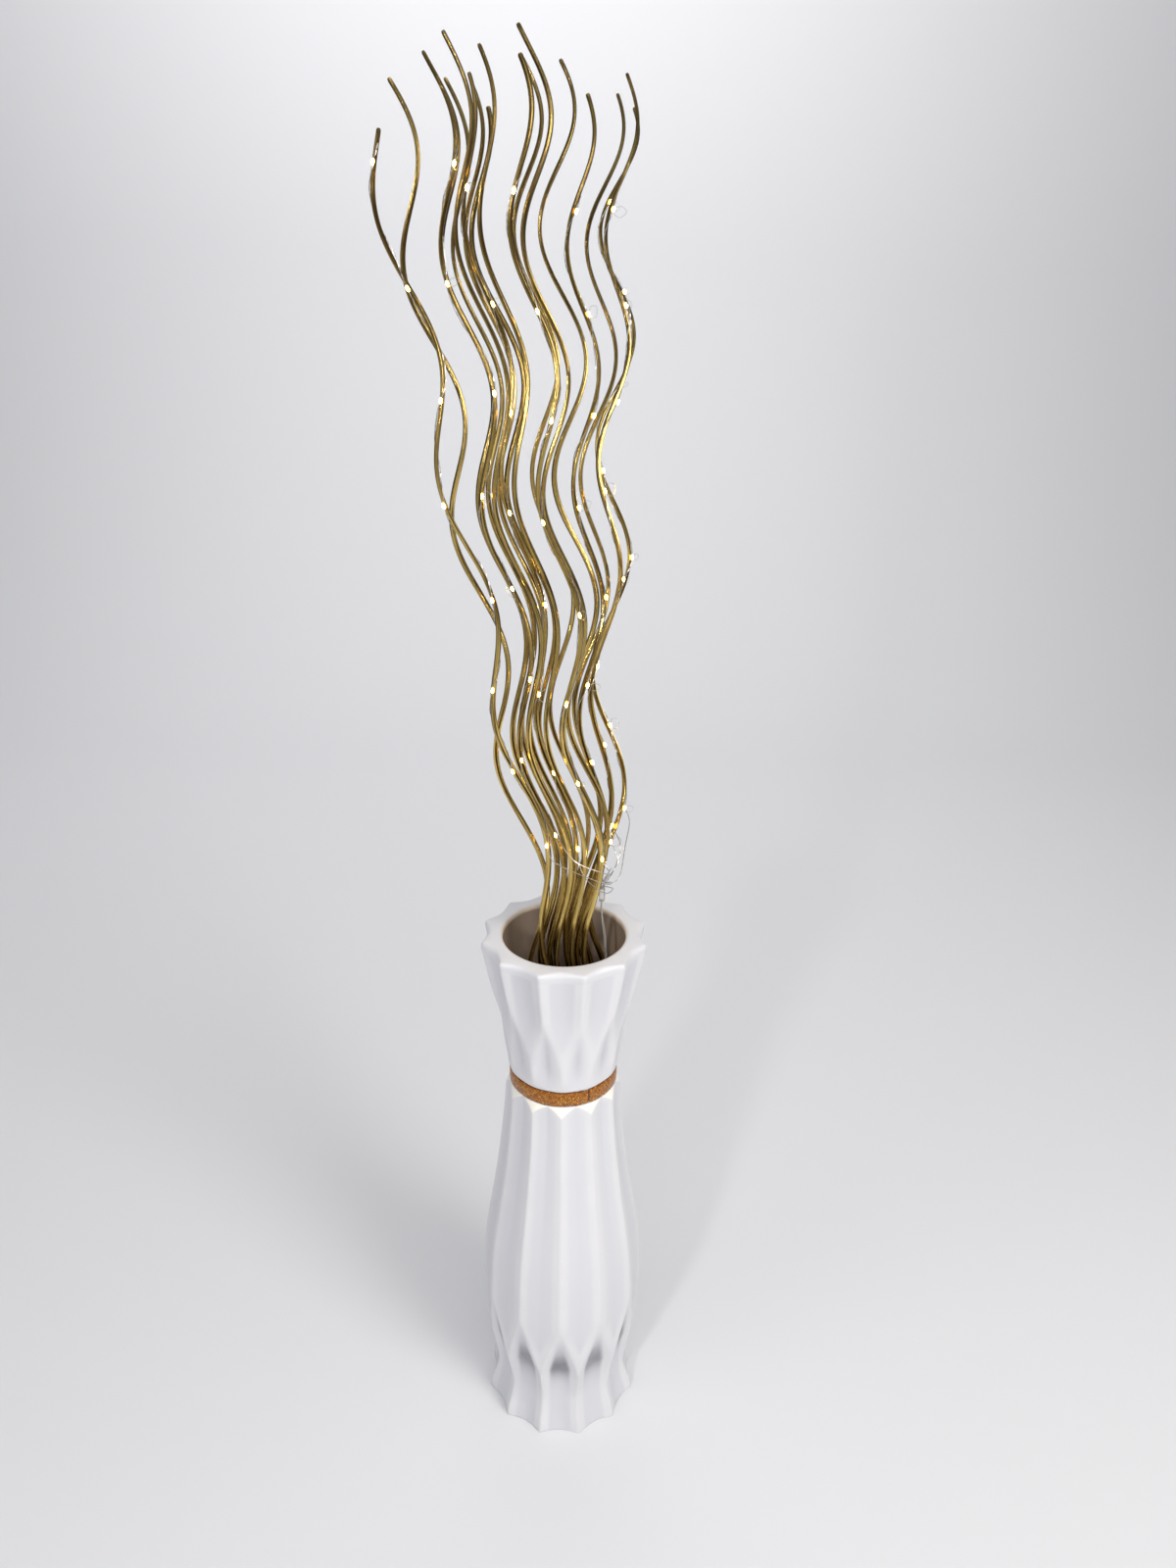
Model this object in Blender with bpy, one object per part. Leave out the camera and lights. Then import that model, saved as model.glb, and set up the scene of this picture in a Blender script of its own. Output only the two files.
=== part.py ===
"""Fluted ceramic vase with wavy painted willow stems, wound with battery fairy lights.

Metres, +Z up. The origin is the centre of the vase's flat underside, and the front faces -Y.
Lists of sizes are in millimetres and are turned into metres where they are used.
"""

import math

import bmesh
import bpy
from mathutils import Vector

MM = 0.001
GAP = 0.3  # mm, left between pieces that touch

# ---- vase, mm ----
FLUTES = 12
COLUMNS = 4 * FLUTES
VASE_HEIGHT = 600
FLOOR_THICKNESS = 12
FOOT_EDGE = 1.5
RIM_ROUND = 3.5
RIM_SLOPE = 3  # the rounded edge is wider in the hollows, by this much
RIM_EDGE = 594  # height where the rounded edge of the rim begins
MOUTH_RADIUS = 60
GROOVE_RADIUS = 52.5
GROOVE_BOTTOM, GROOVE_TOP = 432, 450
LEDGE_RADIUS = 55.7
LIP_HEIGHT = 453.5
LIP_INSET = 0.5
SHOULDER_HEIGHT, SHOULDER_RADIUS = 426.5, 57
# Flat-sided pleats run up the body and neck: (height, ridge radius) and (height, depth of the fold).
PLEAT_RIDGE = [(0, 100), (60, 88), (85, 86.5), (120, 87.5), (170, 87.8), (220, 84.9), (255, 80.3),
               (304, 72.2), (350, 66), (400, 60.9), (432, 59.6), (462, 60.2), (484, 62.8),
               (510, 68), (540, 78), (600, 102)]
PLEAT_DEPTH = [(0, 4), (400, 4), (462, 4.2), (484, 5.3), (540, 5.7), (600, 6)]
# Hollow scallops cut across the pleats at the foot and at the collar: (height, hollow, cusp).
FOOT_SCALLOP = [(0, 78, 85.5), (12, 75.5, 84), (25, 72.5, 79.5), (42, 70, 75.5), (60, 68.8, 77.5),
                (85, 70.5, 82.5), (100, 73.8, 88), (120, 79, 95), (140, 84, 102), (160, 87.7, 110),
                (240, 104, 140)]
COLLAR_SCALLOP = [(440, 58.6, 54), (462, 60.2, 57.5), (510, 63.7, 66), (540, 66.6, 72.3),
                  (563, 70, 77.3), (600, 77, 84)]
SCALLOP_BELOW, SCALLOP_ABOVE = 200, 440
FOOT_ROWS = [12, 25, 40, 55, 70, 85, 100, 115, 130, 145, 160, 195, 230, 270, 310, 350, 390, 419]
COLLAR_ROWS = [462, 475, 490, 506, 522, 538, 552, 568, 582]
INSIDE = [(565, 58), (520, 53), (480, 48.5), (445, 46), (425, 46.5), (380, 51.5), (320, 60),
          (240, 71), (170, 76), (110, 69), (60, 61), (20, 60), (FLOOR_THICKNESS, 56)]

# ---- neck band, mm ----
BAND_RADIUS = 55.5
BAND_BOTTOM, BAND_TOP = 432.4, 449.5

# ---- stems, mm ----
STEM_SIDES = 5
STEM_RADIUS_FOOT, STEM_RADIUS_TIP = 3.2, 1.6
NECK_HEIGHT = 440
FOOT_SHIFT = -25  # the stems cross the vase on a slant
FOOT_SPREAD = 1.15
LEAN_SOFTNESS = 80
STEM_RINGS_IN_VASE = 4
STEM_RINGS_ABOVE = 31
DEPTH_SWING, DEPTH_PHASE = 4, 0.25  # the stems also wave a little from front to back
# The bends get closer together up the stem: the height of bend n is a quadratic in n.
BEND_START, BEND_STEP, BEND_SHORTENING = 680, 226.5, 9.8
# number: (x and y in the mouth, x, y and height of the tip, sideways swing, phase)
STEMS = {
    1: (-6, -18, -127, -70, 1266, 11, 0.15),
    2: (-20, -9, -125, -40, 1301, 13.5, -0.06),
    3: (-10, 0, -106, 0, 1325, 12.5, 0.01),
    4: (-2, -9, -92, -35, 1303, 12, 0.0),
    5: (-2, 9, -95, 35, 1315, 12, 0.02),
    6: (6, -18, -84, -60, 1325, 11.5, 0.06),
    7: (14, -9, -70, -30, 1307, 10, 0.12),
    8: (5, 0, -71, 0, 1305, 12, 0.06),
    9: (20, -18, -60, -60, 1318, 10.5, 0.10),
    10: (27, -9, -36, -25, 1337, 13.5, 0.08),
    11: (16, 9, -39, 45, 1333, 14, 0.13),
    12: (33, -18, -33, -55, 1314, 12, 0.10),
    13: (31, 0, -8, 20, 1325, 15.5, 0.14),
    14: (32, 9, 12, 70, 1312, 12, 0.09),
    15: (18, 18, 36, 110, 1319, 14, 0.13),
    16: (30, 18, 44, 150, 1340, 12, 0.18),
    17: (40, 18, 53, 230, 1328, 16.5, 0.22),
    18: (17, 0, -60, 5, 1292, 13, 0.07),
}

# ---- fairy lights, mm ----
WIRE_SIDES = 4
WIRE_RADIUS = 0.45
BULB_RADIUS = 1.3
BULB_LENGTH = 5
WIRE_OFF_STEM = 1.1
BULBS = 8
BULB_START, BULB_STEP = 706, 77  # heights of the lowest bulb and the rise to the next one
WIRE_STEPS = 6  # straight pieces of wire from one bulb to the next
WIRE_TAIL, TAIL_TURN = 12, 1  # the loose end above the last bulb: its rise and its turn
WAY_STEPS = 2  # straight pieces of wire between points of the way from the sleeve
SLEEVE_TOP = (36, 2, 648)
SLEEVE_RADIUS, SLEEVE_LENGTH = 3.2, 14
START_CIRCLE = 2.1
START_RISE = 3
# string: (host stem, angle of its bulbs, height of its first bulb on the stem less BULB_START,
#          angle of its start on the sleeve, the wire's way from the sleeve to the stem)
STRINGS = {
    1: (1, -100, 0, 111, [(44, -12, 662), (40, -32, 670), (12, -38, 684), (-10, -37, 696)]),
    2: (4, -80, 4, 214, [(42, -10, 669), (38, -30, 680), (16, -35, 691), (4, -32, 700)]),
    3: (7, -60, -10, 265, [(46, -14, 656), (38, -36, 663), (22, -35, 675), (15, -29, 686)]),
    4: (12, -90, -14, 162, [(44, -10, 675), (41, -27, 682)]),
    5: (14, -20, -16, 317, [(46, 4, 664), (50, 8, 678)]),
    6: (16, 0, -8, 59, [(50, 12, 668), (53, 24, 684)]),
    7: (17, -30, 4, 8, [(52, 8, 656), (58, 26, 682), (62, 42, 700)]),
}

# ---- lead, mm ----
LEAD_RADIUS = 1.1
LEAD_SIDES = 8
LEAD_ROUTE = [(36, 2, 620), (40, 2, 590), (42, -4, 550), (41, -6, 500), (39, -4, 450),
              (40, 0, 400), (42, 4, 300), (45, 10, 200), (42, 16, 120)]
LEAD_STEPS = 4
LEAD_HOLE, LEAD_HOLE_Y = 1.5, 17

# ---- battery box, mm ----
BOX_LEFT, BOX_DEPTH, BOX_WIDTH, BOX_HEIGHT = 30, 16.5, 48, 66
BOX_WALL = 1.5
BOX_TOP_WALL = 4
COVER_THICKNESS = 1.5
CELL_RADIUS, CELL_LENGTH, CELL_NUB_RADIUS, CELL_NUB = 7.1, 49.5, 2.7, 1
CELL_SPACING = 15
CELL_SIDES, SPRING_SIDES = 24, 12
SPRING_HEIGHT, SPRING_WIDE, SPRING_NARROW = 5.6, 3.6, 2.4
PLATE = 0.5
PLATE_WIDTH = 9
SWITCH_TRAVEL = 2.8
SLIDER_LENGTH, SLIDER_WIDTH, SLIDER_HEIGHT = 6, 4, 4
SLIDER_POCKET = 2.5


# ---- tools ----

def clear_scene():
    for obj in list(bpy.data.objects):
        bpy.data.objects.remove(obj, do_unlink=True)


def make_material(name, colour, roughness, metallic=0.0):
    material = bpy.data.materials.new(name)
    material.use_nodes = True
    shader = material.node_tree.nodes["Principled BSDF"]
    shader.inputs["Base Color"].default_value = (*colour, 1)
    shader.inputs["Roughness"].default_value = roughness
    shader.inputs["Metallic"].default_value = metallic
    return material


def add_object(name, mesh, material, smooth_degrees=35):
    mesh.shade_smooth()
    mesh.set_sharp_from_angle(angle=math.radians(smooth_degrees))
    mesh.materials.append(material)
    obj = bpy.data.objects.new(name, mesh)
    bpy.context.scene.collection.objects.link(obj)
    return obj


def object_from_bmesh(name, bm, material):
    bmesh.ops.recalc_face_normals(bm, faces=bm.faces)
    mesh = bpy.data.meshes.new(name)
    bm.to_mesh(mesh)
    bm.free()
    return add_object(name, mesh, material)


def smooth_value(points, at, column=1):
    """Reads a smooth curve through rows whose first column is the place along it."""
    if at <= points[0][0]:
        return points[0][column]
    if at >= points[-1][0]:
        return points[-1][column]
    last = len(points) - 1
    i = next(k for k in range(last) if at <= points[k + 1][0])

    def slope(k):
        before, after = points[max(k - 1, 0)], points[min(k + 1, last)]
        return (after[column] - before[column]) / (after[0] - before[0])

    span = points[i + 1][0] - points[i][0]
    t = (at - points[i][0]) / span
    return (
        (2 * t**3 - 3 * t**2 + 1) * points[i][column]
        + (t**3 - 2 * t**2 + t) * span * slope(i)
        + (3 * t**2 - 2 * t**3) * points[i + 1][column]
        + (t**3 - t**2) * span * slope(i + 1)
    )


def smooth_route(points, steps):
    """Points of a smooth curve through a route, steps from each of its points to the next."""
    out = []
    for i in range(len(points) - 1):
        before = points[i - 1] if i else points[i]
        start, end = points[i], points[i + 1]
        after = points[min(i + 2, len(points) - 1)]
        for k in range(steps):
            t = k / steps
            out.append(
                (2 * t**3 - 3 * t**2 + 1) * start
                + (t**3 - 2 * t**2 + t) * (end - before) * 0.5
                + (3 * t**2 - 2 * t**3) * end
                + (t**3 - t**2) * (after - start) * 0.5
            )
    out.append(points[-1])
    return out


def rings_to_bmesh(rings):
    """Skins rings of points that follow each other, and closes both ends with a fan."""
    bm = bmesh.new()
    loops = [[bm.verts.new(Vector(p) * MM) for p in ring] for ring in rings]
    count = len(rings[0])
    for low, high in zip(loops, loops[1:]):
        for k in range(count):
            n = (k + 1) % count
            bm.faces.new((low[k], low[n], high[n], high[k]))
    for loop, ring in ((loops[0], rings[0]), (loops[-1], rings[-1])):
        middle = bm.verts.new(sum((Vector(p) for p in ring), Vector()) / count * MM)
        for k in range(count):
            bm.faces.new((loop[k], loop[(k + 1) % count], middle))
    return bm


def tube(name, points, radii, sides, material):
    """A round rod along the points, with its own radius at each of them."""
    side = Vector((0, 1, 0))
    rings = []
    for i, point in enumerate(points):
        along = (points[min(i + 1, len(points) - 1)] - points[max(i - 1, 0)]).normalized()
        side = (side - along * side.dot(along)).normalized()
        other = along.cross(side)
        rings.append([
            point + radii[i] * (math.cos(a) * side + math.sin(a) * other)
            for a in (2 * math.pi * k / sides for k in range(sides))
        ])
    return object_from_bmesh(name, rings_to_bmesh(rings), material)


def box(name, low, high, material=None):
    bm = bmesh.new()
    bmesh.ops.create_cube(bm, size=1)
    for vert in bm.verts:
        for axis in range(3):
            vert.co[axis] = (low[axis] if vert.co[axis] < 0 else high[axis]) * MM
    return object_from_bmesh(name, bm, material or PLAIN)


def turned(name, outline, centre, sides, material=None):
    """A solid of revolution about a vertical axis, from (radius, height) pairs, bottom to top."""
    rings = [
        [
            (centre[0] + r * math.cos(2 * math.pi * k / sides),
             centre[1] + r * math.sin(2 * math.pi * k / sides), z)
            for k in range(sides)
        ]
        for r, z in outline
    ]
    return object_from_bmesh(name, rings_to_bmesh(rings), material or PLAIN)


def combine(obj, helpers, operation):
    """Joins helpers to the object or cuts them from it, and keeps them as hidden guides."""
    for helper in helpers:
        helper.hide_render = True
        helper.display_type = "WIRE"
        step = obj.modifiers.new(operation.lower(), "BOOLEAN")
        step.operation = operation
        step.solver = "EXACT"
        step.object = helper


# ---- vase ----

def pleat_radius(height, share):
    """A flat facet from a ridge, at share 0, to the bottom of the fold, at share 1."""
    ridge = smooth_value(PLEAT_RIDGE, height)
    fold = ridge - smooth_value(PLEAT_DEPTH, height)
    half = math.pi / FLUTES
    across = ridge * math.sin(share * half) + fold * math.sin((1 - share) * half)
    return ridge * fold * math.sin(half) / across


def scallop_radius(rows, height, share):
    """A hollow curve from the middle of a scallop, at share 0, to its cusp, at share 1."""
    hollow = smooth_value(rows, height, 1)
    cusp = smooth_value(rows, height, 2)
    return hollow + (cusp - hollow) * share**2


def flute_share(angle):
    """0 in the middle of a flute and 1 on the line between two of them."""
    turns = angle * FLUTES / (2 * math.pi)
    return 2 * abs(turns - round(turns))


def vase_radius(height, angle):
    share = flute_share(angle)
    radius = pleat_radius(height, share)
    if height < SCALLOP_BELOW:
        radius = min(radius, scallop_radius(FOOT_SCALLOP, height, share))
    if height > SCALLOP_ABOVE:
        radius = min(radius, scallop_radius(COLLAR_SCALLOP, height, share))
    return radius


def ring_around(height, radius_at):
    angles = [2 * math.pi * k / COLUMNS for k in range(COLUMNS)]
    return [(radius_at(a) * math.sin(a), -radius_at(a) * math.cos(a), height) for a in angles]


def fluted_ring(height, inset=0.0, slope=0.0):
    return ring_around(
        height, lambda a: vase_radius(height, a) - inset - slope * (1 - flute_share(a))
    )


def round_ring(height, radius):
    return ring_around(height, lambda a: radius)


def build_vase():
    rings = [fluted_ring(0, FOOT_EDGE), fluted_ring(FOOT_EDGE)]
    rings += [fluted_ring(z) for z in FOOT_ROWS]
    rings += [
        round_ring(SHOULDER_HEIGHT, SHOULDER_RADIUS),
        round_ring(GROOVE_BOTTOM, LEDGE_RADIUS),
        round_ring(GROOVE_BOTTOM, GROOVE_RADIUS),
        round_ring(GROOVE_TOP, GROOVE_RADIUS),
        fluted_ring(LIP_HEIGHT, LIP_INSET),
    ]
    rings += [fluted_ring(z) for z in COLLAR_ROWS]
    rings += [
        fluted_ring(RIM_EDGE),
        fluted_ring(VASE_HEIGHT, RIM_ROUND, RIM_SLOPE),
        round_ring(VASE_HEIGHT, MOUTH_RADIUS),
    ]
    rings += [round_ring(z, r) for z, r in INSIDE]
    object_from_bmesh("vase", rings_to_bmesh(rings), CERAMIC)


def build_neck_band():
    inner = GROOVE_RADIUS + GAP
    bm = bmesh.new()
    corners = [(BAND_BOTTOM, inner), (BAND_BOTTOM, BAND_RADIUS), (BAND_TOP, BAND_RADIUS),
               (BAND_TOP, inner)]
    loops = [[bm.verts.new(Vector(p) * MM) for p in round_ring(z, r)] for z, r in corners]
    for low, high in zip(loops, loops[1:] + loops[:1]):
        for k in range(COLUMNS):
            n = (k + 1) % COLUMNS
            bm.faces.new((low[k], low[n], high[n], high[k]))
    object_from_bmesh("neck_band", bm, GLITTER)


# ---- stems ----

def bend_count(height):
    """How many bends lie between the lowest one and this height; it may be a fraction."""
    root = BEND_STEP**2 - 4 * BEND_SHORTENING * (height - BEND_START)
    return (BEND_STEP - math.sqrt(root)) / (2 * BEND_SHORTENING)


def soft_rise(height):
    """Zero in the vase, then rises evenly, with a soft start round the mouth."""
    above = height - VASE_HEIGHT
    if above < -LEAN_SOFTNESS:
        return 0.0
    if above > LEAN_SOFTNESS:
        return above
    return (above + LEAN_SOFTNESS) ** 2 / (4 * LEAN_SOFTNESS)


def swing(height, size, phase):
    """The sideways wave of a stem, which dies away in the neck."""
    t = min(max((height - NECK_HEIGHT) / (VASE_HEIGHT - NECK_HEIGHT), 0), 1)
    return size * t * t * (3 - 2 * t) * math.cos(2 * math.pi * (bend_count(height) - phase))


def stem_centre(number, height):
    mouth_x, mouth_y, tip_x, tip_y, tip_z, size, phase = STEMS[number]
    inside = max((VASE_HEIGHT - height) / VASE_HEIGHT, 0)
    share = soft_rise(height) / soft_rise(tip_z)
    lean_x = tip_x - mouth_x - swing(tip_z, size, phase)
    lean_y = tip_y - mouth_y
    return Vector((
        mouth_x + FOOT_SHIFT * inside + lean_x * share + swing(height, size, phase),
        mouth_y * (1 + (FOOT_SPREAD - 1) * inside) + lean_y * share
        + swing(height, DEPTH_SWING, DEPTH_PHASE),
        height,
    ))


def stem_radius(number, height):
    share = height / STEMS[number][4]
    return STEM_RADIUS_FOOT + (STEM_RADIUS_TIP - STEM_RADIUS_FOOT) * share


def stem_heights(number):
    foot = FLOOR_THICKNESS + GAP
    tip = STEMS[number][4]
    low = [foot + (NECK_HEIGHT - foot) * k / STEM_RINGS_IN_VASE for k in range(STEM_RINGS_IN_VASE)]
    high = [
        NECK_HEIGHT + (tip - NECK_HEIGHT) * k / STEM_RINGS_ABOVE for k in range(STEM_RINGS_ABOVE + 1)
    ]
    return low + high


def stem_points(number):
    return [stem_centre(number, z) for z in stem_heights(number)]


def build_stems():
    for number in STEMS:
        radii = [stem_radius(number, z) for z in stem_heights(number)]
        tube(f"stem_{number:02d}", stem_points(number), radii, STEM_SIDES, GOLD_PAINT)


# ---- fairy lights ----

def on_stem(number, height):
    """The centre of the faceted stem at a height, between two of its rings."""
    points = stem_points(number)
    i = next(k for k in range(len(points) - 1) if height <= points[k + 1].z)
    share = (height - points[i].z) / (points[i + 1].z - points[i].z)
    return points[i].lerp(points[i + 1], share)


def beside_stem(number, height, angle, more=0.0):
    """A point beside a stem, square to it, at an angle that is 0 towards +X and 90 towards +Y."""
    reach = stem_radius(number, height) + WIRE_OFF_STEM + WIRE_RADIUS + more
    reach /= math.cos(math.pi / WIRE_STEPS)
    along = (on_stem(number, height + 1) - on_stem(number, height - 1)).normalized()
    right = (Vector((1, 0, 0)) - along * along.x).normalized()
    back = along.cross(right)
    return on_stem(number, height) + reach * (math.cos(angle) * right + math.sin(angle) * back)


def string_path(number):
    """The points and radii of one string: up from the sleeve, then one turn from bulb to bulb."""
    host, bulb_degrees, rise, start_degrees, way = STRINGS[number]
    around, bulb_angle = math.radians(start_degrees), math.radians(bulb_degrees)
    start = Vector(SLEEVE_TOP) + START_CIRCLE * Vector((math.cos(around), math.sin(around), 0))
    start.z += GAP
    above = start + Vector((0, 0, START_RISE))
    points = [start] + smooth_route([above] + [Vector(p) for p in way], WAY_STEPS)
    radii = [WIRE_RADIUS] * len(points)
    swell = [(-0.5, WIRE_RADIUS), (-0.25, BULB_RADIUS), (0.25, BULB_RADIUS), (0.5, WIRE_RADIUS)]
    for bulb in range(BULBS):
        height = BULB_START + rise + BULB_STEP * bulb
        for share, radius in swell:
            points.append(beside_stem(host, height + share * BULB_LENGTH, bulb_angle, BULB_RADIUS))
            radii.append(radius)
        if bulb == BULBS - 1:
            break
        for k in range(1, WIRE_STEPS):
            turn = k / WIRE_STEPS
            points.append(beside_stem(host, height + turn * BULB_STEP,
                                      bulb_angle + 2 * math.pi * turn))
            radii.append(WIRE_RADIUS)
    points.append(beside_stem(host, height + WIRE_TAIL, bulb_angle + TAIL_TURN))
    radii.append(WIRE_RADIUS)
    return points, radii


def build_strings():
    for number in STRINGS:
        points, radii = string_path(number)
        tube(f"light_string_{number}", points, radii, WIRE_SIDES, WIRE)


# ---- battery box and its lead ----

def box_middle_x():
    return BOX_LEFT + BOX_WALL + (BOX_DEPTH - BOX_WALL) / 2


def lead_path():
    sleeve = Vector(SLEEVE_TOP)
    top = [sleeve, sleeve - Vector((0, 0, SLEEVE_LENGTH))]
    box_top = FLOOR_THICKNESS + GAP + BOX_HEIGHT
    bottom = [
        Vector((box_middle_x(), LEAD_HOLE_Y, box_top + rise))
        for rise in (2 * BOX_TOP_WALL, -BOX_TOP_WALL / 2)
    ]
    way = smooth_route([top[1]] + [Vector(p) for p in LEAD_ROUTE] + bottom, LEAD_STEPS)
    points = [top[0], top[1]] + way[1:]
    radii = [SLEEVE_RADIUS, SLEEVE_RADIUS] + [LEAD_RADIUS] * (len(points) - 2)
    return points, radii


def build_lead():
    points, radii = lead_path()
    tube("lead", points, radii, LEAD_SIDES, CLEAR_LEAD)


def build_battery_box():
    bottom = FLOOR_THICKNESS + GAP
    top = bottom + BOX_HEIGHT
    half = BOX_WIDTH / 2
    right = BOX_LEFT + BOX_DEPTH
    middle = box_middle_x()

    case = box("battery_case", (BOX_LEFT, -half, bottom), (right, half, top), BOX_PLASTIC)
    hollow = box(
        "case_hollow_cutter",
        (BOX_LEFT + BOX_WALL, -half + BOX_WALL, bottom + BOX_WALL),
        (right + BOX_WALL, half - BOX_WALL, top - BOX_TOP_WALL),
    )
    pocket = box(
        "switch_pocket_cutter",
        (middle - SLIDER_WIDTH / 2 - GAP, -SLIDER_LENGTH - GAP, top - SLIDER_POCKET),
        (middle + SLIDER_WIDTH / 2 + GAP, SWITCH_TRAVEL + GAP, top + SLIDER_POCKET),
    )
    hole = turned(
        "lead_hole_cutter",
        [(LEAD_HOLE, top - 2 * BOX_TOP_WALL), (LEAD_HOLE, top + BOX_TOP_WALL)],
        (middle, LEAD_HOLE_Y), LEAD_SIDES,
    )
    combine(case, [hollow, pocket, hole], "DIFFERENCE")

    box(
        "switch_slider",
        (middle - SLIDER_WIDTH / 2, -SLIDER_LENGTH, top - SLIDER_POCKET + GAP),
        (middle + SLIDER_WIDTH / 2, 0, top - SLIDER_POCKET + GAP + SLIDER_HEIGHT),
        SWITCH_PLASTIC,
    )
    box(
        "battery_cover",
        (right + GAP, -half, bottom),
        (right + GAP + COVER_THICKNESS, half, top),
        BOX_PLASTIC,
    )

    # The cells stand side by side and turn end for end, so the plates join them in a row.
    low_plate = bottom + BOX_WALL + GAP
    high_plate = top - BOX_TOP_WALL - GAP - PLATE
    cell_low = low_plate + PLATE + SPRING_HEIGHT + GAP
    cell_high = high_plate - SPRING_HEIGHT - GAP
    middle_of_cells = (cell_low + cell_high) / 2
    spans = {}
    for number in (1, 2, 3):
        way_up = -1 if number == 2 else 1
        flat = middle_of_cells - way_up * (CELL_LENGTH + CELL_NUB) / 2
        neck = flat + way_up * CELL_LENGTH
        outline = [(CELL_RADIUS, flat), (CELL_RADIUS, neck), (CELL_NUB_RADIUS, neck),
                   (CELL_NUB_RADIUS, neck + way_up * CELL_NUB)]
        y = CELL_SPACING * (number - 2)
        turned(f"cell_{number}", outline[::way_up], (middle, y), CELL_SIDES, CELL_LABEL)
        ends = sorted((flat, neck + way_up * CELL_NUB))
        spans[number] = (ends[0] - GAP, ends[1] + GAP)

    plates = {
        "contact_low_left": (low_plate, (1, 2)),
        "contact_low_right": (low_plate, (3,)),
        "contact_high_left": (high_plate, (1,)),
        "contact_high_right": (high_plate, (2, 3)),
    }
    for name, (z, cells) in plates.items():
        first, last = CELL_SPACING * (cells[0] - 2), CELL_SPACING * (cells[-1] - 2)
        reach = PLATE_WIDTH / 2
        plate = box(name, (middle - reach, first - reach, z),
                    (middle + reach, last + reach, z + PLATE), SPRING_STEEL)
        studs = []
        for cell in cells:
            is_low = z < middle_of_cells
            foot = z + PLATE / 2
            end = spans[cell][0] if is_low else spans[cell][1]
            outline = [(SPRING_WIDE, foot), (SPRING_NARROW, end)]
            if not is_low:
                outline.reverse()
            studs.append(turned(f"{name}_stud_{cell}", outline,
                                (middle, CELL_SPACING * (cell - 2)), SPRING_SIDES))
        combine(plate, studs, "UNION")


clear_scene()
PLAIN = make_material("helper", (0.5, 0.5, 0.5), 0.5)
CERAMIC = make_material("white_stoneware", (0.80, 0.80, 0.79), 0.45)
GLITTER = make_material("gold_glitter", (0.62, 0.42, 0.14), 0.4, 0.6)
GOLD_PAINT = make_material("gold_paint", (0.34, 0.23, 0.09), 0.35, 0.7)
WIRE = make_material("silver_wire", (0.75, 0.75, 0.74), 0.3, 1.0)
CLEAR_LEAD = make_material("clear_plastic", (0.85, 0.83, 0.80), 0.2)
BOX_PLASTIC = make_material("box_plastic", (0.86, 0.86, 0.84), 0.45)
SWITCH_PLASTIC = make_material("switch_plastic", (0.04, 0.04, 0.04), 0.5)
CELL_LABEL = make_material("cell_label", (0.10, 0.16, 0.24), 0.35)
SPRING_STEEL = make_material("spring_steel", (0.70, 0.69, 0.66), 0.35, 1.0)

build_vase()
build_neck_band()
build_stems()
build_strings()
build_lead()
build_battery_box()
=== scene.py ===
# %% [markdown]
# # A fluted vase of gilded willow, wound with fairy lights
#
# The real object is a tall white glazed vase with a glitter band round its neck. Eighteen wavy
# stems, sprayed gold, stand in it, and seven fine wires with small lights climb them. A clear lead
# joins the wires to a battery box on the vase's floor.
#
# The solids come from a measured frame. Each one is replaced here by a finer mesh made from the
# same rule, so that it keeps its place and its size, and then gets its material.

# %% Load the measured frame
import math
import random

import bpy
import numpy as np
from mathutils import Matrix, Vector


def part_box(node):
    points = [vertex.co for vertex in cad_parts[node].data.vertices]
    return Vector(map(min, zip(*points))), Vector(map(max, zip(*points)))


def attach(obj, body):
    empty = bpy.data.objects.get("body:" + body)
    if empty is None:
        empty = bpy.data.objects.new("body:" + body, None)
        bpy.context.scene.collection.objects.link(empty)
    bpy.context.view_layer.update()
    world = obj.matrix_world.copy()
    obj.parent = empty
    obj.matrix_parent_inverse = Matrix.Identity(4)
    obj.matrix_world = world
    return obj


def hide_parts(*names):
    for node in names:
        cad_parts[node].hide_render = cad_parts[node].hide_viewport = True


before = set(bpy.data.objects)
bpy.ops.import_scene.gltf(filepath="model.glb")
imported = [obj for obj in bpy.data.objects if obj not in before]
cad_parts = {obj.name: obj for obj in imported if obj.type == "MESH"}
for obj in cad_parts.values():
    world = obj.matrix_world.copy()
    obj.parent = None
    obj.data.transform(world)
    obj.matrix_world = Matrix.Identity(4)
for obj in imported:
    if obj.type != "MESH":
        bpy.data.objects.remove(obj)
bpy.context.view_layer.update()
MM = 0.001
BODY, SWITCH_BODY = "vase_and_stems", "switch"

# %% [markdown]
# ## Camera
#
# The vase stands on the floor and is seen from a standing person's height, looking down a little,
# so its mouth shows as a wide oval and its foot looks small. A short lens close by gives that
# strong taper. A longer lens further off would straighten the sides and hide the mouth.

# %% Place the camera
camera = bpy.data.objects.new("camera", bpy.data.cameras.new("camera"))
bpy.context.scene.collection.objects.link(camera)
camera.data.lens = 24.93
camera.data.sensor_width = 36
PITCH, ROLL = math.radians(67.02), math.radians(0.88)
camera.matrix_world = (Matrix.Translation((0.021, -0.918, 1.146))
                       @ Matrix.Rotation(PITCH, 4, "X") @ Matrix.Rotation(ROLL, 4, "Z"))
bpy.context.scene.camera = camera
bpy.context.scene.view_settings.view_transform = "Standard"
print("camera at", [round(v, 3) for v in camera.location])

# %% [markdown]
# ## Two small helpers for materials
#
# Colours are written as the hex values that a colour picker shows, so they need turning from sRGB
# into the linear light that the renderer works in. One more function adds any node, sets it up and
# links it. A function for each kind of node would be longer and no clearer. Patterns are sized in
# millimetres, as they'd be measured on the real thing.

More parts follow.
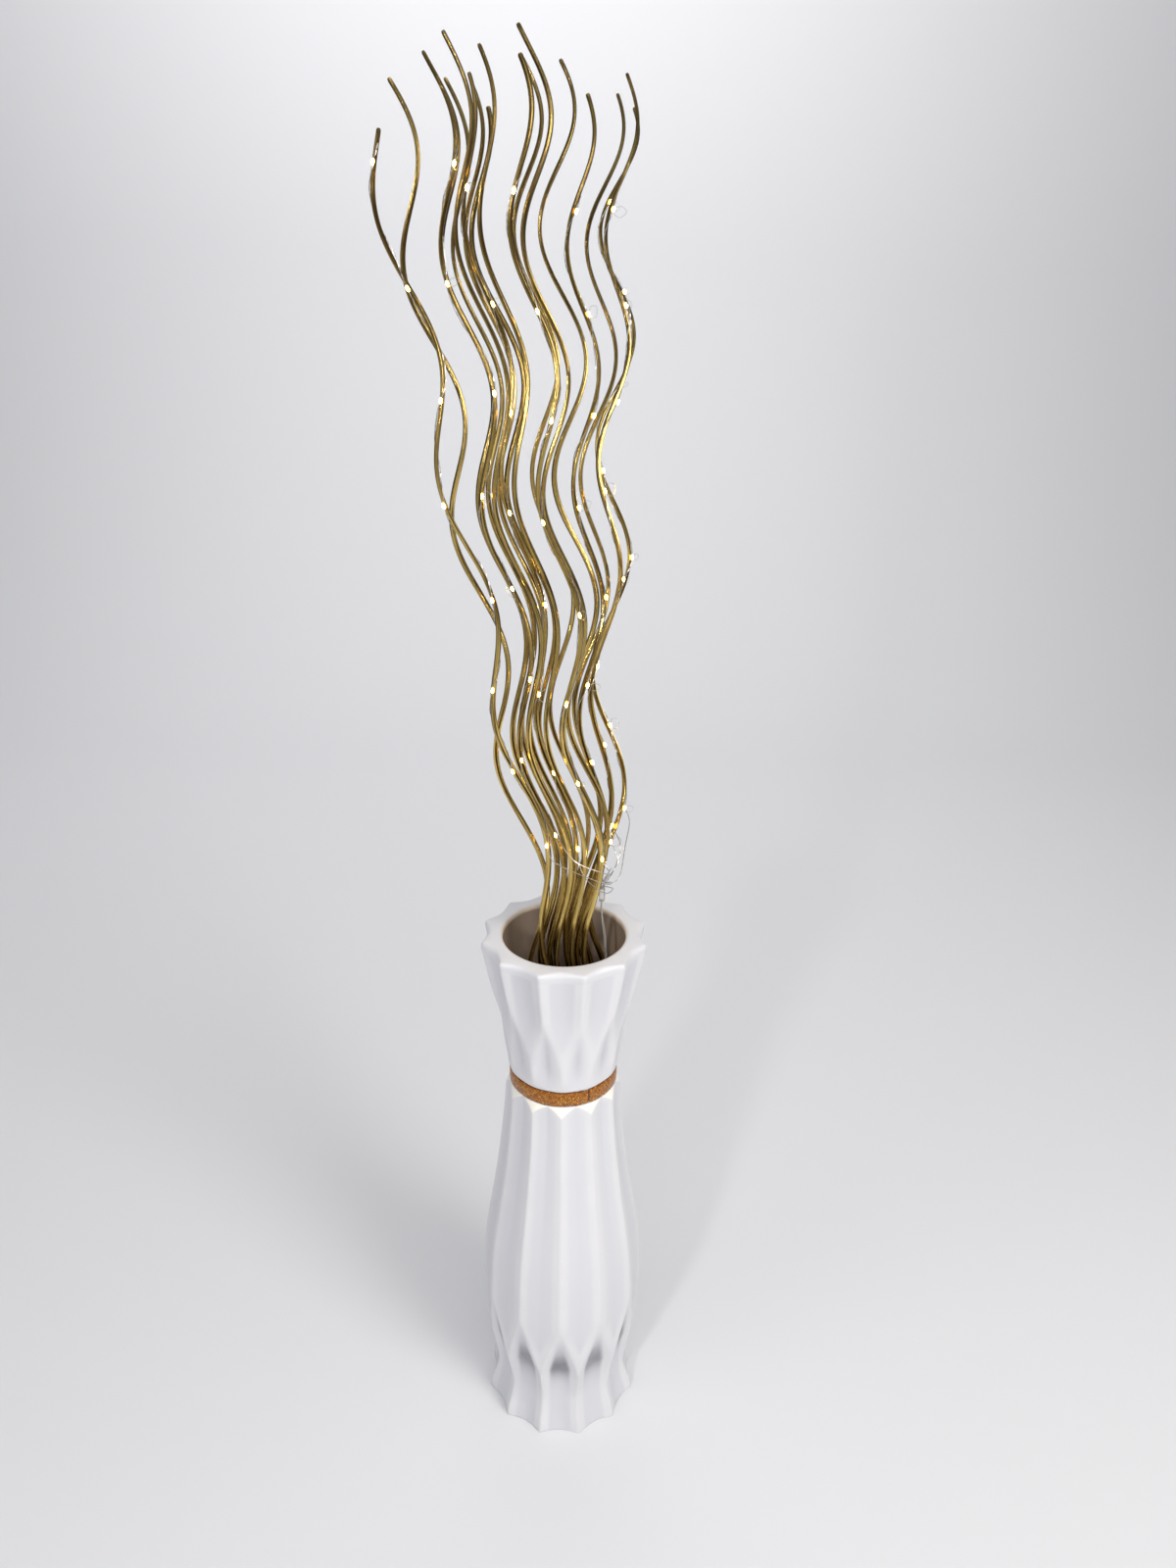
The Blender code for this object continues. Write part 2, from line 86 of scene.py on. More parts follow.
# %% Colour and node helpers
def colour(hex_code):
    """An sRGB hex colour as linear red, green, blue and alpha."""
    parts = [int(hex_code[i:i + 2], 16) / 255 for i in (1, 3, 5)]
    return (*[c / 12.92 if c <= 0.04045 else ((c + 0.055) / 1.055) ** 2.4 for c in parts], 1.0)


def add_node(material, kind, inputs=None, **settings):
    """Adds a shader node. An input that is a socket is linked, any other value is set."""
    tree = material.node_tree
    node = tree.nodes.new("ShaderNode" + kind)
    for key, value in settings.items():
        setattr(node, key, value)
    for socket, value in (inputs or {}).items():
        if isinstance(value, bpy.types.NodeSocket):
            tree.links.new(value, node.inputs[socket])
        else:
            node.inputs[socket].default_value = value
    return node


def new_material(name, **surface):
    """A material with one Principled shader, whose plain sockets are set by name."""
    material = bpy.data.materials.new(name)
    material.use_nodes = True
    shader = material.node_tree.nodes["Principled BSDF"]
    for socket, value in surface.items():
        shader.inputs[socket.replace("_", " ")].default_value = value
    return material, shader


def link(material, output, shader, socket):
    material.node_tree.links.new(output, shader.inputs[socket])


def repeats(size):
    """The scale of a pattern whose one repeat is size millimetres."""
    return 1 / (size * MM)


# %% [markdown]
# ## Floor, wall and light
#
# A plain pale sweep stands for floor and wall: flat under the vase, then bent up behind it in one
# soft curve, so no line crosses the picture. Two planes would meet in a line behind the vase.

# %% Make the sweep
SWEEP_FRONT, SWEEP_BACK, SWEEP_BEND, SWEEP_TOP, SWEEP_HALF = -5.0, 3.4, 1.4, 6.0, 7.0
BEND_PIECES = 24
profile = [(SWEEP_FRONT, 0.0)]
for turn in np.linspace(0, math.pi / 2, BEND_PIECES + 1):
    profile.append((SWEEP_BACK - SWEEP_BEND + SWEEP_BEND * math.sin(turn),
                    SWEEP_BEND - SWEEP_BEND * math.cos(turn)))
profile.append((SWEEP_BACK, SWEEP_TOP))
sweep_mesh = bpy.data.meshes.new("sweep")
sweep_mesh.from_pydata(
    [(x, y, z) for y, z in profile for x in (-SWEEP_HALF, SWEEP_HALF)], [],
    [(2 * i, 2 * i + 1, 2 * i + 3, 2 * i + 2) for i in range(len(profile) - 1)])
sweep_mesh.shade_smooth()
sweep = bpy.data.objects.new("sweep", sweep_mesh)
bpy.context.scene.collection.objects.link(sweep)
paper, _ = new_material("backdrop paper", Base_Color=colour("#E4E4E6"), Roughness=0.9)
sweep_mesh.materials.append(paper)
print("sweep:", len(sweep_mesh.polygons), "faces")

# %% [markdown]
# Real rooms light such a vase from big windows, so the lights are large and soft. A small lamp
# would throw a hard shadow of every stem on the wall. One narrow strip adds the thin bright line
# that gilded stems show, and one light behind the vase faces away from it, to lift the wall alone.

# %% Light it softly
def add_light(name, place, aim, size, watts, tint):
    light = bpy.data.lights.new(name, "AREA")
    light.shape, light.size, light.energy = "DISK", size, watts
    light.color = colour(tint)[:3]
    lamp = bpy.data.objects.new(name, light)
    lamp.location = place
    lamp.rotation_euler = (Vector(aim) - Vector(place)).to_track_quat("-Z", "Y").to_euler()
    bpy.context.scene.collection.objects.link(lamp)


add_light("window_right", (1.5, -1.5, 1.6), (0, 0, 0.45), 1.1, 33, "#FFFDFA")
add_light("window_left", (-2.1, -1.3, 1.7), (0, 0, 0.7), 1.4, 7, "#F4F6FF")
add_light("wall_wash", (-0.3, 1.5, 3.3), (-0.3, 3.4, 2.2), 2.4, 52, "#FFFFFF")
add_light("strip_left", (-0.6, -1.5, 1.3), (0, 0, 0.95), 0.16, 9, "#FFFFFF")
add_light("ceiling", (0.2, -0.7, 3.1), (0, 0.1, 0.6), 1.5, 20, "#FFFDF8")
world = bpy.data.worlds.new("room")
bpy.context.scene.world = world
world.use_nodes = True
world.node_tree.nodes["Background"].inputs["Color"].default_value = colour("#EEF0F5")
world.node_tree.nodes["Background"].inputs["Strength"].default_value = 0.3

# %% [markdown]
# ## Skins from rings
#
# Nearly every piece here is long: a vase, a stem, a wire. Each can be drawn as rings of points
# that follow each other, joined by strips of faces. Curves with a bevel could do the round ones,
# but they can't carry a fluted section, so one function that skins rings makes them all. It also
# keeps a UV map in metres, round the piece and along it, for grain that runs along a stem.

# %% Ring and mesh helpers
def skin(rings, capped=True):
    """Points, faces and face-corner UVs of rings shaped (count, sides, 3), in millimetres."""
    count, sides, _ = rings.shape
    k = np.arange(sides)
    low = (np.arange(count - 1)[:, None] * sides + k).ravel()
    low_next = (np.arange(count - 1)[:, None] * sides + (k + 1) % sides).ravel()
    faces = np.stack([low, low_next, low_next + sides, low + sides], axis=1).tolist()
    middle = rings.mean(axis=1)
    step = np.linalg.norm(np.diff(middle, axis=0), axis=1)
    reach = np.linalg.norm(np.diff(rings, axis=0), axis=2).mean(axis=1)
    along = np.concatenate([[0], np.cumsum(np.maximum(step, reach))]) * MM
    around = np.linalg.norm(rings - middle[:, None], axis=2).mean() * 2 * math.pi * MM
    u = np.tile(np.stack([k, k + 1, k + 1, k], axis=1) / sides * around, (count - 1, 1))
    v = np.repeat(np.stack([along[:-1], along[:-1], along[1:], along[1:]], axis=1), sides, axis=0)
    uvs = np.stack([u.ravel(), v.ravel()], axis=1)
    points = rings.reshape(-1, 3)
    if capped:
        points = np.vstack([points, middle[0], middle[-1]])
        first, last, top = count * sides, count * sides + 1, (count - 1) * sides
        for i in range(sides):
            n = (i + 1) % sides
            faces.append([first, n, i])
            faces.append([last, top + i, top + n])
        uvs = np.vstack([uvs, np.zeros((6 * sides, 2))])
    return points, faces, uvs


def add_piece(name, parts, material, replaces=(), body=BODY, attributes=None):
    """One mesh object from one or more skins, riding on a body of the frame."""
    points, faces, uvs, start = [], [], [], 0
    for part_points, part_faces, part_uvs in parts:
        points.append(part_points)
        faces += [[start + i for i in face] for face in part_faces]
        uvs.append(part_uvs)
        start += len(part_points)
    mesh = bpy.data.meshes.new(name)
    mesh.from_pydata((np.vstack(points) * MM).tolist(), [], faces)
    mesh.uv_layers.new(name="run").data.foreach_set("uv", np.vstack(uvs).ravel())
    for key, values in (attributes or {}).items():
        layer = mesh.attributes.new(key, "FLOAT", "POINT")
        layer.data.foreach_set("value", np.resize(values, len(mesh.vertices)))
    mesh.shade_smooth()
    mesh.set_sharp_from_angle(angle=math.radians(50))
    mesh.materials.append(material)
    piece = bpy.data.objects.new(name, mesh)
    bpy.context.scene.collection.objects.link(piece)
    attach(piece, body)
    if replaces:
        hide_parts(*replaces)
    return piece


def tube_rings(path, radii, sides, shape=None, roll=0.0):
    """Rings square to a path. shape(angle, share) scales the radius round each ring."""
    along = np.gradient(path, axis=0)
    along /= np.linalg.norm(along, axis=1)[:, None]
    side, rings = np.array([0.0, 1.0, 0.0]), []
    angles = 2 * math.pi * np.arange(sides) / sides + roll
    for i, place in enumerate(path):
        side = side - along[i] * side.dot(along[i])
        side /= np.linalg.norm(side)
        back = np.cross(along[i], side)
        reach = radii[i] * (shape(angles, i / (len(path) - 1)) if shape else 1.0)
        reach = np.broadcast_to(reach, angles.shape)
        rings.append(place + (reach * np.cos(angles))[:, None] * side
                     + (reach * np.sin(angles))[:, None] * back)
    return np.array(rings)


def lathe(outline, centre=(0, 0), sides=32):
    """Rings of a solid of revolution from (radius, height) pairs."""
    angles = 2 * math.pi * np.arange(sides) / sides
    return np.array([
        np.stack([centre[0] + r * np.sin(angles), centre[1] - r * np.cos(angles),
                  np.full(sides, float(z))], axis=1)
        for r, z in outline
    ])


# %% [markdown]
# ## The shape of the vase
#
# The vase is slip-cast stoneware in twelve flutes. Flat-sided pleats run up the belly and neck,
# with a ridge in the middle of each flute. At the foot and the collar, hollow scallops cut across
# the pleats, so each ridge splits into a triangle and each fold ends in a point. So one rule gives
# every part of it: the radius is the smaller of the pleat and the scallop. Carving it with a
# Boolean for each scallop would leave seams. A soft minimum gives the rounded edge that glaze has.

# %% Sizes of the vase, in millimetres
FLUTES = 12
COLUMNS = 24 * FLUTES
HEIGHT, FLOOR_TOP, MOUTH = 600, 12, 60
GROOVE, GROOVE_LOW, GROOVE_HIGH, LIP = 52.5, 432, 450, 454
PLEAT_RIDGE = [(0, 100), (60, 88), (85, 86.5), (120, 87.5), (170, 87.8), (220, 84.9), (255, 80.3),
               (304, 72.2), (350, 66), (400, 60.9), (432, 59.6), (462, 60.2), (484, 62.8),
               (510, 68), (540, 78), (600, 102)]
PLEAT_DEPTH = [(0, 4), (400, 4), (462, 4.2), (484, 5.3), (540, 5.7), (600, 6)]
FOOT_SCALLOP = [(0, 78, 85.5), (12, 75.5, 84), (25, 72.5, 79.5), (42, 70, 75.5), (60, 68.8, 77.5),
                (85, 70.5, 82.5), (100, 73.8, 88), (120, 79, 95), (140, 84, 102), (160, 87.7, 110),
                (240, 104, 140)]
COLLAR_SCALLOP = [(440, 58.6, 54), (462, 60.2, 57.5), (510, 63.7, 66), (540, 66.6, 72.3),
                  (563, 70, 77.3), (600, 77, 84)]
INSIDE = [(597, 60), (565, 58), (520, 53), (480, 48.5), (445, 46), (425, 46.5), (380, 51.5),
          (320, 60), (240, 71), (170, 76), (110, 69), (60, 61), (20, 60), (FLOOR_TOP, 56)]
LEDGE_RADIUS, LEDGE_SLOPE = 55.4, 2.6  # the pleats end on a steep cone under the band
RIDGE_ROUND, FOLD_ROUND, CUSP_ROUND = 0.035, 0.04, 0.05  # shares of half a flute
PLAIN_TOP = 474  # where the collar's flutes have their full depth
EDGE_BLEND = 0.6  # softness of the edges where scallop meets pleat
SHRINK = 0.35  # keeps the finer skin just inside the measured solid
NOT_ROUND = 0.2, 0.15  # how far a hand-finished casting strays from its drawing
print("vase: %d flutes, %d mm tall" % (FLUTES, HEIGHT))

# %% [markdown]
# The tables above hold only the few heights where the outline turns. A smooth curve reads the rest
# from them, because straight runs between rows would show as bands of light on the glaze.

# %% The rule for the vase's radius
def cubic(t, start, end, start_slope, end_slope):
    """A smooth step from start to end that leaves and arrives on the given slopes."""
    return ((2 * t**3 - 3 * t**2 + 1) * start + (t**3 - 2 * t**2 + t) * start_slope
            + (3 * t**2 - 2 * t**3) * end + (t**3 - t**2) * end_slope)


def read(points, at, column=1):
    """A smooth curve through rows whose first number is the height."""
    if at <= points[0][0]:
        return points[0][column]
    if at >= points[-1][0]:
        return points[-1][column]
    last = len(points) - 1
    i = next(k for k in range(last) if at <= points[k + 1][0])
    slopes = []
    for k in (i, i + 1):
        before, after = points[max(k - 1, 0)], points[min(k + 1, last)]
        slopes.append((after[column] - before[column]) / (after[0] - before[0]))
    span = points[i + 1][0] - points[i][0]
    return cubic((at - points[i][0]) / span, points[i][column], points[i + 1][column],
                 span * slopes[0], span * slopes[1])


angles = 2 * math.pi * np.arange(COLUMNS) / COLUMNS
turns = angles * FLUTES / (2 * math.pi)
share = 2 * np.abs(turns - np.round(turns))
pleat_share = 1 - np.hypot(1 - np.hypot(share, RIDGE_ROUND), FOLD_ROUND)
scallop_share = 1 - np.hypot(1 - share, CUSP_ROUND)


def soft_min(a, b):
    low, high = np.minimum(a, b), np.maximum(a, b)
    return low - EDGE_BLEND * np.log1p(np.exp(-(high - low) / EDGE_BLEND))


def outer_radius(height, with_ledge=True):
    ridge = read(PLEAT_RIDGE, height)
    fold = ridge - read(PLEAT_DEPTH, height)
    half = math.pi / FLUTES
    across = ridge * np.sin(pleat_share * half) + fold * np.sin((1 - pleat_share) * half)
    radius = ridge * fold * math.sin(half) / across
    for rows, used in ((FOOT_SCALLOP, height < 200), (COLLAR_SCALLOP, height > GROOVE_HIGH)):
        if used:
            hollow, cusp = read(rows, height, 1), read(rows, height, 2)
            radius = soft_min(radius, hollow + (cusp - hollow) * scallop_share**2)
    if with_ledge and height <= GROOVE_LOW:
        radius = soft_min(radius, LEDGE_RADIUS + (GROOVE_LOW - height) / LEDGE_SLOPE)
    if LIP <= height < PLAIN_TOP:  # the collar starts nearly round
        flat = 1 - ((height - LIP) / (PLAIN_TOP - LIP)) ** 0.7
        radius = radius + (radius.mean() - 0.6 - radius) * 0.85 * flat
    hand = (NOT_ROUND[0] * np.sin(3 * angles + height / 60)
            + NOT_ROUND[1] * np.sin(5 * angles - height / 40))
    return radius + hand - SHRINK


def ledge_light_share(height):
    """1 where the cone under the band has cut the pleats: this ledge faces up and gets painted
    light.
    """
    if not 405 < height <= GROOVE_LOW:
        return 0 * share
    return np.clip((outer_radius(height, False) - outer_radius(height) - 0.35) / 0.3, 0, 1)


print("radius at the belly: %.1f to %.1f mm" % (outer_radius(170).min(), outer_radius(170).max()))

# %% [markdown]
# One skin runs up the outside, over the rim and down the inside, with rings close together where
# the scallops cut. Four marks are kept on its points for the glaze: how hollow a spot is, how much
# painted shade it gets in a deep pocket, how much painted light it gets on the up-facing ledge under
# the band, and how far in past the mouth it is.

# %% Skin the vase from the foot, over the rim and down the inside
RING_STEPS = (1.5, 60, 3), (60, 168, 2.4), (168, 414, 6), (414, GROOVE_LOW - 0.5, 1.2)
OUTSIDE = -20.0
rows = []  # each ring as its height and its radii
for rise, inset in ((0, 1.5), (0.15, 0.8), (0.6, 0.25)):
    rows.append((rise, outer_radius(rise) - inset))
for steps in RING_STEPS:
    rows += [(height, outer_radius(height)) for height in np.arange(*steps)]
ledge = outer_radius(GROOVE_LOW)
for height, radius in ((GROOVE_LOW, ledge), (432.3, ledge - 0.6), (432.35, GROOVE + 0.6),
                       (433, GROOVE), (449, GROOVE), (449.8, GROOVE + 0.7)):
    rows.append((height, radius + 0 * share))
for height, inset in ((450.1, 3.2), (450.6, 1.5), (451.6, 0.5), (453, 0.1)):
    rows.append((height, outer_radius(LIP) - inset))
rows += [(height, outer_radius(height)) for height in np.arange(LIP, 593, 2.2)]
EDGE_START, EDGE_INSET, EDGE_SLOPE = 593.5, 3.5, 3
for turn in np.radians([15, 30, 45, 60, 75, 90]):
    height = EDGE_START + (HEIGHT - 0.2 - EDGE_START) * math.sin(turn)
    inset = (EDGE_INSET + EDGE_SLOPE * (1 - share)) * (1 - math.cos(turn))
    rows.append((height, outer_radius(height) - inset))
lips = [OUTSIDE] * len(rows)  # how far in past the mouth's edge each ring lies
for radius, height in ((66, 599.8), (63.5, 599.8), (62, 599.5), (60.9, 598.9), (60.2, 598)):
    rows.append((height, radius + 0 * share))
    lips.append(MOUTH + 2 - radius if height > 599 else HEIGHT - height + 2)
for height in [*np.arange(597, 560, -2), *np.arange(560, 20, -8), 16, 13.5, FLOOR_TOP]:
    rows.append((height, read(INSIDE[::-1], height) + 0 * share))
    lips.append(HEIGHT - height + 2)
for radius in (40, 20):
    rows.append((FLOOR_TOP, radius + 0 * share))
    lips.append(HEIGHT)
radii = np.array([radius for _, radius in rows])
heights = np.array([height for height, _ in rows])
rings = np.stack([radii * np.sin(angles), -radii * np.cos(angles),
                  np.broadcast_to(heights[:, None], radii.shape)], axis=2)
SPREAD = 6  # columns to each side that decide whether a spot is hollow or proud
beside = (np.roll(radii, SPREAD, axis=1) + np.roll(radii, -SPREAD, axis=1)) / 2
RIM_START = 590
outside = (np.array(lips) < 0) & (heights < RIM_START)
hollow = np.where(outside[:, None], beside - radii, 0)
FOOT_POCKET, NECK_POCKET = (98, 24), (486, 22)  # height of the deepest shade, and its reach
near = [np.exp(-(((heights - middle) / reach) ** 2))[:, None]
        for middle, reach in (FOOT_POCKET, NECK_POCKET)]
# Painted light: the up-facing ledge under the band is painted near white.
bare = np.array([ledge_light_share(height) for height in heights])
POCKET_FROM, POCKET_FULL, NECK_SHADE = 0.6, 3.0, 0.3
# Painted shade: this mark darkens the glaze in the deep pockets over the foot and in the collar's
# folds.
pocket = np.clip((hollow - POCKET_FROM) / (POCKET_FULL - POCKET_FROM), 0, 1)
pocket = pocket * (near[0] + NECK_SHADE * near[1])
vase_skin = skin(rings)
print("vase:", len(vase_skin[1]), "faces, hollows to %.1f mm" % hollow.max())

# %% [markdown]
# ## Glazed stoneware
#
# The outside is a satin white glaze over pale clay. Glaze is glass, so its IOR is about 1.5, and a
# satin one has a roughness near 0.4. It gathers in hollows, where it looks a little cooler and
# darker, and painted shade darkens the same hollows too, most in the deep pockets over the foot and
# in the collar's folds. The ledge under the band, which faces up, is painted near white as painted
# light. Inside, the glaze is brown-grey, and on the mouth's edge both are thin, so cream clay
# shows through. One material does all three, mixed by how far in past the mouth a spot lies, which
# keeps the borders as soft and uneven as poured glaze.

# %% Make the glaze
glaze, shader = new_material("satin glazed stoneware", IOR=1.5, Coat_Weight=0.15,
                             Coat_Roughness=0.25)
BLOTCH, PORE = 36, 2.4
place = add_node(glaze, "TexCoord").outputs["Object"]
blotch = add_node(glaze, "TexNoise", {
    "Vector": place, "Scale": repeats(BLOTCH), "Detail": 4.0}).outputs["Fac"]
pores = add_node(glaze, "TexNoise", {
    "Vector": place, "Scale": repeats(PORE), "Detail": 2.0}).outputs["Fac"]
mark = {name: add_node(glaze, "Attribute", attribute_name=name).outputs["Fac"]
        for name in ("hollow", "pocket", "bare", "lip")}
uneven = add_node(glaze, "Math", {0: blotch, 1: 2.5, 2: mark["lip"]},
                  operation="MULTIPLY_ADD").outputs[0]
gather_and_shade, cloudy, thin, inner = [
    add_node(glaze, "MapRange", {
        "Value": value, "From Min": low, "From Max": high, "To Max": most}).outputs["Result"]
    for value, low, high, most in ((mark["hollow"], -0.8, 1.6, 1), (blotch, 0.35, 0.7, 0.35),
                                   (uneven, 1.6, 3.2, 1), (uneven, 6.5, 9.0, 1))]
inside = add_node(glaze, "Mix", {
    0: blotch, 6: colour("#927E6B"), 7: colour("#B3A294")}, data_type="RGBA").outputs[2]
surface = colour("#DFDEE0")
# Below, the grey in the hollows is glaze that gathers there and also painted shade, the dark grey of
# the pocket mark is painted shade, and the near-white of the ledge mark is painted light.
for amount, over in ((gather_and_shade, colour("#D3D3D8")), (mark["pocket"], colour("#74737A")),
                     (mark["bare"], colour("#FFFAEE")), (cloudy, colour("#D6D6DA")),
                     (thin, colour("#E0D2BF")), (inner, inside)):
    surface = add_node(glaze, "Mix", {0: amount, 6: surface, 7: over},
                       data_type="RGBA").outputs[2]
link(glaze, surface, shader, "Base Color")
gloss = add_node(glaze, "MapRange", {
    "Value": pores, "To Min": 0.34, "To Max": 0.5}).outputs["Result"]
gloss = add_node(glaze, "Mix", {0: inner, 2: gloss, 3: 0.22}).outputs[0]
link(glaze, gloss, shader, "Roughness")
skin_bump = add_node(glaze, "Bump", {"Height": pores, "Strength": 0.25, "Distance": 0.3 * MM})
link(glaze, skin_bump.outputs["Normal"], shader, "Normal")
lip = np.repeat(np.array(lips), COLUMNS)
add_piece("fluted_vase", [vase_skin], glaze, ["vase"],
          attributes={"hollow": np.append(hollow.ravel(), [0, 0]),
                      "pocket": np.append(pocket.ravel(), [0, 0]),
                      "bare": np.append(bare.ravel(), [0, 0]),
                      "lip": np.append(lip, [OUTSIDE, HEIGHT])})
print("glaze:", len(glaze.node_tree.nodes), "nodes")

# %% [markdown]
# ## The glitter band
#
# A strip of amber glitter tape is glued round the neck groove. Its cut edges are ragged, chips
# have come off along them, and its two ends meet in an open seam on the right of the front. It is
# skinned as a thin strip from one end to the other, with edges moved by fixed random amounts. A
# plain ring with a picture of glitter on it would lose the seam and the torn edges.

# %% Cut the band
BAND_LOW, BAND_HIGH, BAND_INNER, BAND_OUTER = 432.7, 449.3, 52.8, 55.2
SEAM_ANGLE, SEAM_GAP, BAND_STEPS = math.radians(29), 0.013, 620
CHIP_EVERY, LOW_CHIPS, HIGH_CHIPS = 8, 0.5, 0.7  # steps apart, and the chance of each kind
CURL, CURL_REACH = 1.6, 0.12  # one end has shrunk back at its top corner
dice = random.Random(7)
knots = [(dice.uniform(0, 0.8), dice.uniform(0, 0.7)) for _ in range(BAND_STEPS + 1)]
for k in range(0, BAND_STEPS - CHIP_EVERY, CHIP_EVERY):
    wide, low_chip, high_chip = dice.randrange(1, 5), dice.uniform(0.8, 2.4), dice.uniform(0.6, 2)
    chance = dice.random()
    for i in range(k, k + wide):
        if chance < LOW_CHIPS:
            knots[i] = (low_chip + dice.uniform(0, 0.5), knots[i][1])
        elif chance < HIGH_CHIPS:
            knots[i] = (knots[i][0], high_chip + dice.uniform(0, 0.4))
sections = []
for k in range(BAND_STEPS + 1):
    turn = SEAM_ANGLE + SEAM_GAP + (2 * math.pi - 2 * SEAM_GAP) * k / BAND_STEPS
    low, high = BAND_LOW + knots[k][0], BAND_HIGH - knots[k][1]
    dip = CURL * math.exp(-((2 * math.pi - (turn - SEAM_ANGLE)) / CURL_REACH) ** 2)
    outer = BAND_OUTER + 0.25 * math.sin(9 * turn) * math.sin(4 * turn)
    corners = [(BAND_INNER, low), (outer - 0.3, low), (outer, low + 0.4),
               (outer, (low + high) / 2), (outer, high - 0.4 - dip), (outer - 0.3, high - dip),
               (BAND_INNER, high - dip)]
    sections.append([(r * math.sin(turn), -r * math.cos(turn), z) for r, z in corners])
band_skin = skin(np.array(sections))
print("band:", len(band_skin[1]), "faces")

# %% [markdown]
# Hexagonal foil flakes about 1 mm across lie at slightly different tilts under amber lacquer, and
# pale veins of glue run between patches of them 5 mm wide. Foil is metal, the lacquer isn't, so
# the metallic value is between the two, and each cell of a Voronoi pattern is one flake.

# %% Make glitter tape
FLAKE, PATCH = 1.0, 4.8
glitter, shader = new_material("amber glitter tape", Metallic=0.3, Coat_Weight=0.2,
                               Coat_Roughness=0.15)
place = add_node(glitter, "TexCoord").outputs["Object"]
flakes = add_node(glitter, "TexVoronoi", {"Vector": place, "Scale": repeats(FLAKE)})
patches = add_node(glitter, "TexVoronoi", {"Vector": place, "Scale": repeats(PATCH)},
                   feature="DISTANCE_TO_EDGE")
one_flake = add_node(glitter, "SeparateColor", {0: flakes.outputs["Color"]})
# Painted glints: a few flakes are coloured pale gold to stand for flakes that catch the light.
painted_glint = add_node(glitter, "MapRange", {
    "Value": one_flake.outputs["Green"], "From Min": 0.93, "From Max": 0.98}).outputs["Result"]
vein = add_node(glitter, "MapRange", {
    "Value": patches.outputs["Distance"], "From Max": 0.045, "To Min": 0.85,
    "To Max": 0.0}).outputs["Result"]
amber = colour("#7A3F00")
for amount, over in ((one_flake.outputs["Red"], "#A66000"), (painted_glint, "#F0B548"),
                     (vein, "#DFA850")):
    amber = add_node(glitter, "Mix", {0: amount, 6: amber, 7: colour(over)},
                     data_type="RGBA").outputs[2]
link(glitter, amber, shader, "Base Color")
tilt = add_node(glitter, "MapRange", {
    "Value": one_flake.outputs["Blue"], "To Min": 0.22, "To Max": 0.55}).outputs["Result"]
link(glitter, tilt, shader, "Roughness")
facets = add_node(glitter, "Bump", {
    "Height": flakes.outputs["Distance"], "Strength": 0.35, "Distance": 0.3 * MM})
link(glitter, facets.outputs["Normal"], shader, "Normal")
add_piece("glitter_band", [band_skin], glitter, ["neck_band"])
print("glitter:", len(glitter.node_tree.nodes), "nodes")

# %% [markdown]
# ## Where each stem runs
#
# The stems were soaked and dried round a former, so they wave from side to side in step, with the
# bends closer together towards the tips. Each one crosses the vase on a slant, starts to lean as it
# leaves the mouth, and carries a cosine wave. That rule, with one row of numbers for each stem,
# gives a smooth centre line at any height, so the lights can be wound on the same line.

# %% The stems' numbers and rule, in millimetres
FOOT_SHIFT, FOOT_SPREAD, LEAN_SOFTNESS = -25, 1.15, 80
NECK_HEIGHT, DEPTH_SWING, DEPTH_PHASE = 440, 4, 0.25
BEND_START, BEND_STEP, BEND_SHORTENING = 680, 226.5, 9.8
THICK, THIN = 3.2, 1.6  # radius at the foot and at the tip
GAP = 0.3
# number: (x and y in the mouth, x, y and height of the tip, sideways swing, phase)
STEMS = {
    1: (-6, -18, -127, -70, 1266, 11, 0.15),
    2: (-20, -9, -125, -40, 1301, 13.5, -0.06),
    3: (-10, 0, -106, 0, 1325, 12.5, 0.01),
    4: (-2, -9, -92, -35, 1303, 12, 0.0),
    5: (-2, 9, -95, 35, 1315, 12, 0.02),
    6: (6, -18, -84, -60, 1325, 11.5, 0.06),
    7: (14, -9, -70, -30, 1307, 10, 0.12),
    8: (5, 0, -71, 0, 1305, 12, 0.06),
    9: (20, -18, -60, -60, 1318, 10.5, 0.10),
    10: (27, -9, -36, -25, 1337, 13.5, 0.08),
    11: (16, 9, -39, 45, 1333, 14, 0.13),
    12: (33, -18, -33, -55, 1314, 12, 0.10),
    13: (31, 0, -8, 20, 1325, 15.5, 0.14),
    14: (32, 9, 12, 70, 1312, 12, 0.09),
    15: (18, 18, 36, 110, 1319, 14, 0.13),
    16: (30, 18, 44, 150, 1340, 12, 0.18),
    17: (40, 18, 53, 230, 1328, 16.5, 0.22),
    18: (17, 0, -60, 5, 1292, 13, 0.07),
}


def soft_rise(height):
    above = height - HEIGHT
    if above < -LEAN_SOFTNESS:
        return 0.0
    if above > LEAN_SOFTNESS:
        return above
    return (above + LEAN_SOFTNESS) ** 2 / (4 * LEAN_SOFTNESS)


def swing(height, size, phase):
    root = BEND_STEP**2 - 4 * BEND_SHORTENING * (height - BEND_START)
    bends = (BEND_STEP - math.sqrt(root)) / (2 * BEND_SHORTENING)
    t = min(max((height - NECK_HEIGHT) / (HEIGHT - NECK_HEIGHT), 0), 1)
    return size * t * t * (3 - 2 * t) * math.cos(2 * math.pi * (bends - phase))


def stem_centre(number, height):
    mouth_x, mouth_y, tip_x, tip_y, tip_z, size, phase = STEMS[number]
    lean = soft_rise(height) / soft_rise(tip_z)
    inside = max((HEIGHT - height) / HEIGHT, 0)
    return np.array([
        mouth_x + FOOT_SHIFT * inside + swing(height, size, phase)
        + (tip_x - mouth_x - swing(tip_z, size, phase)) * lean,
        mouth_y * (1 + (FOOT_SPREAD - 1) * inside) + (tip_y - mouth_y) * lean
        + swing(height, DEPTH_SWING, DEPTH_PHASE),
        height,
    ])


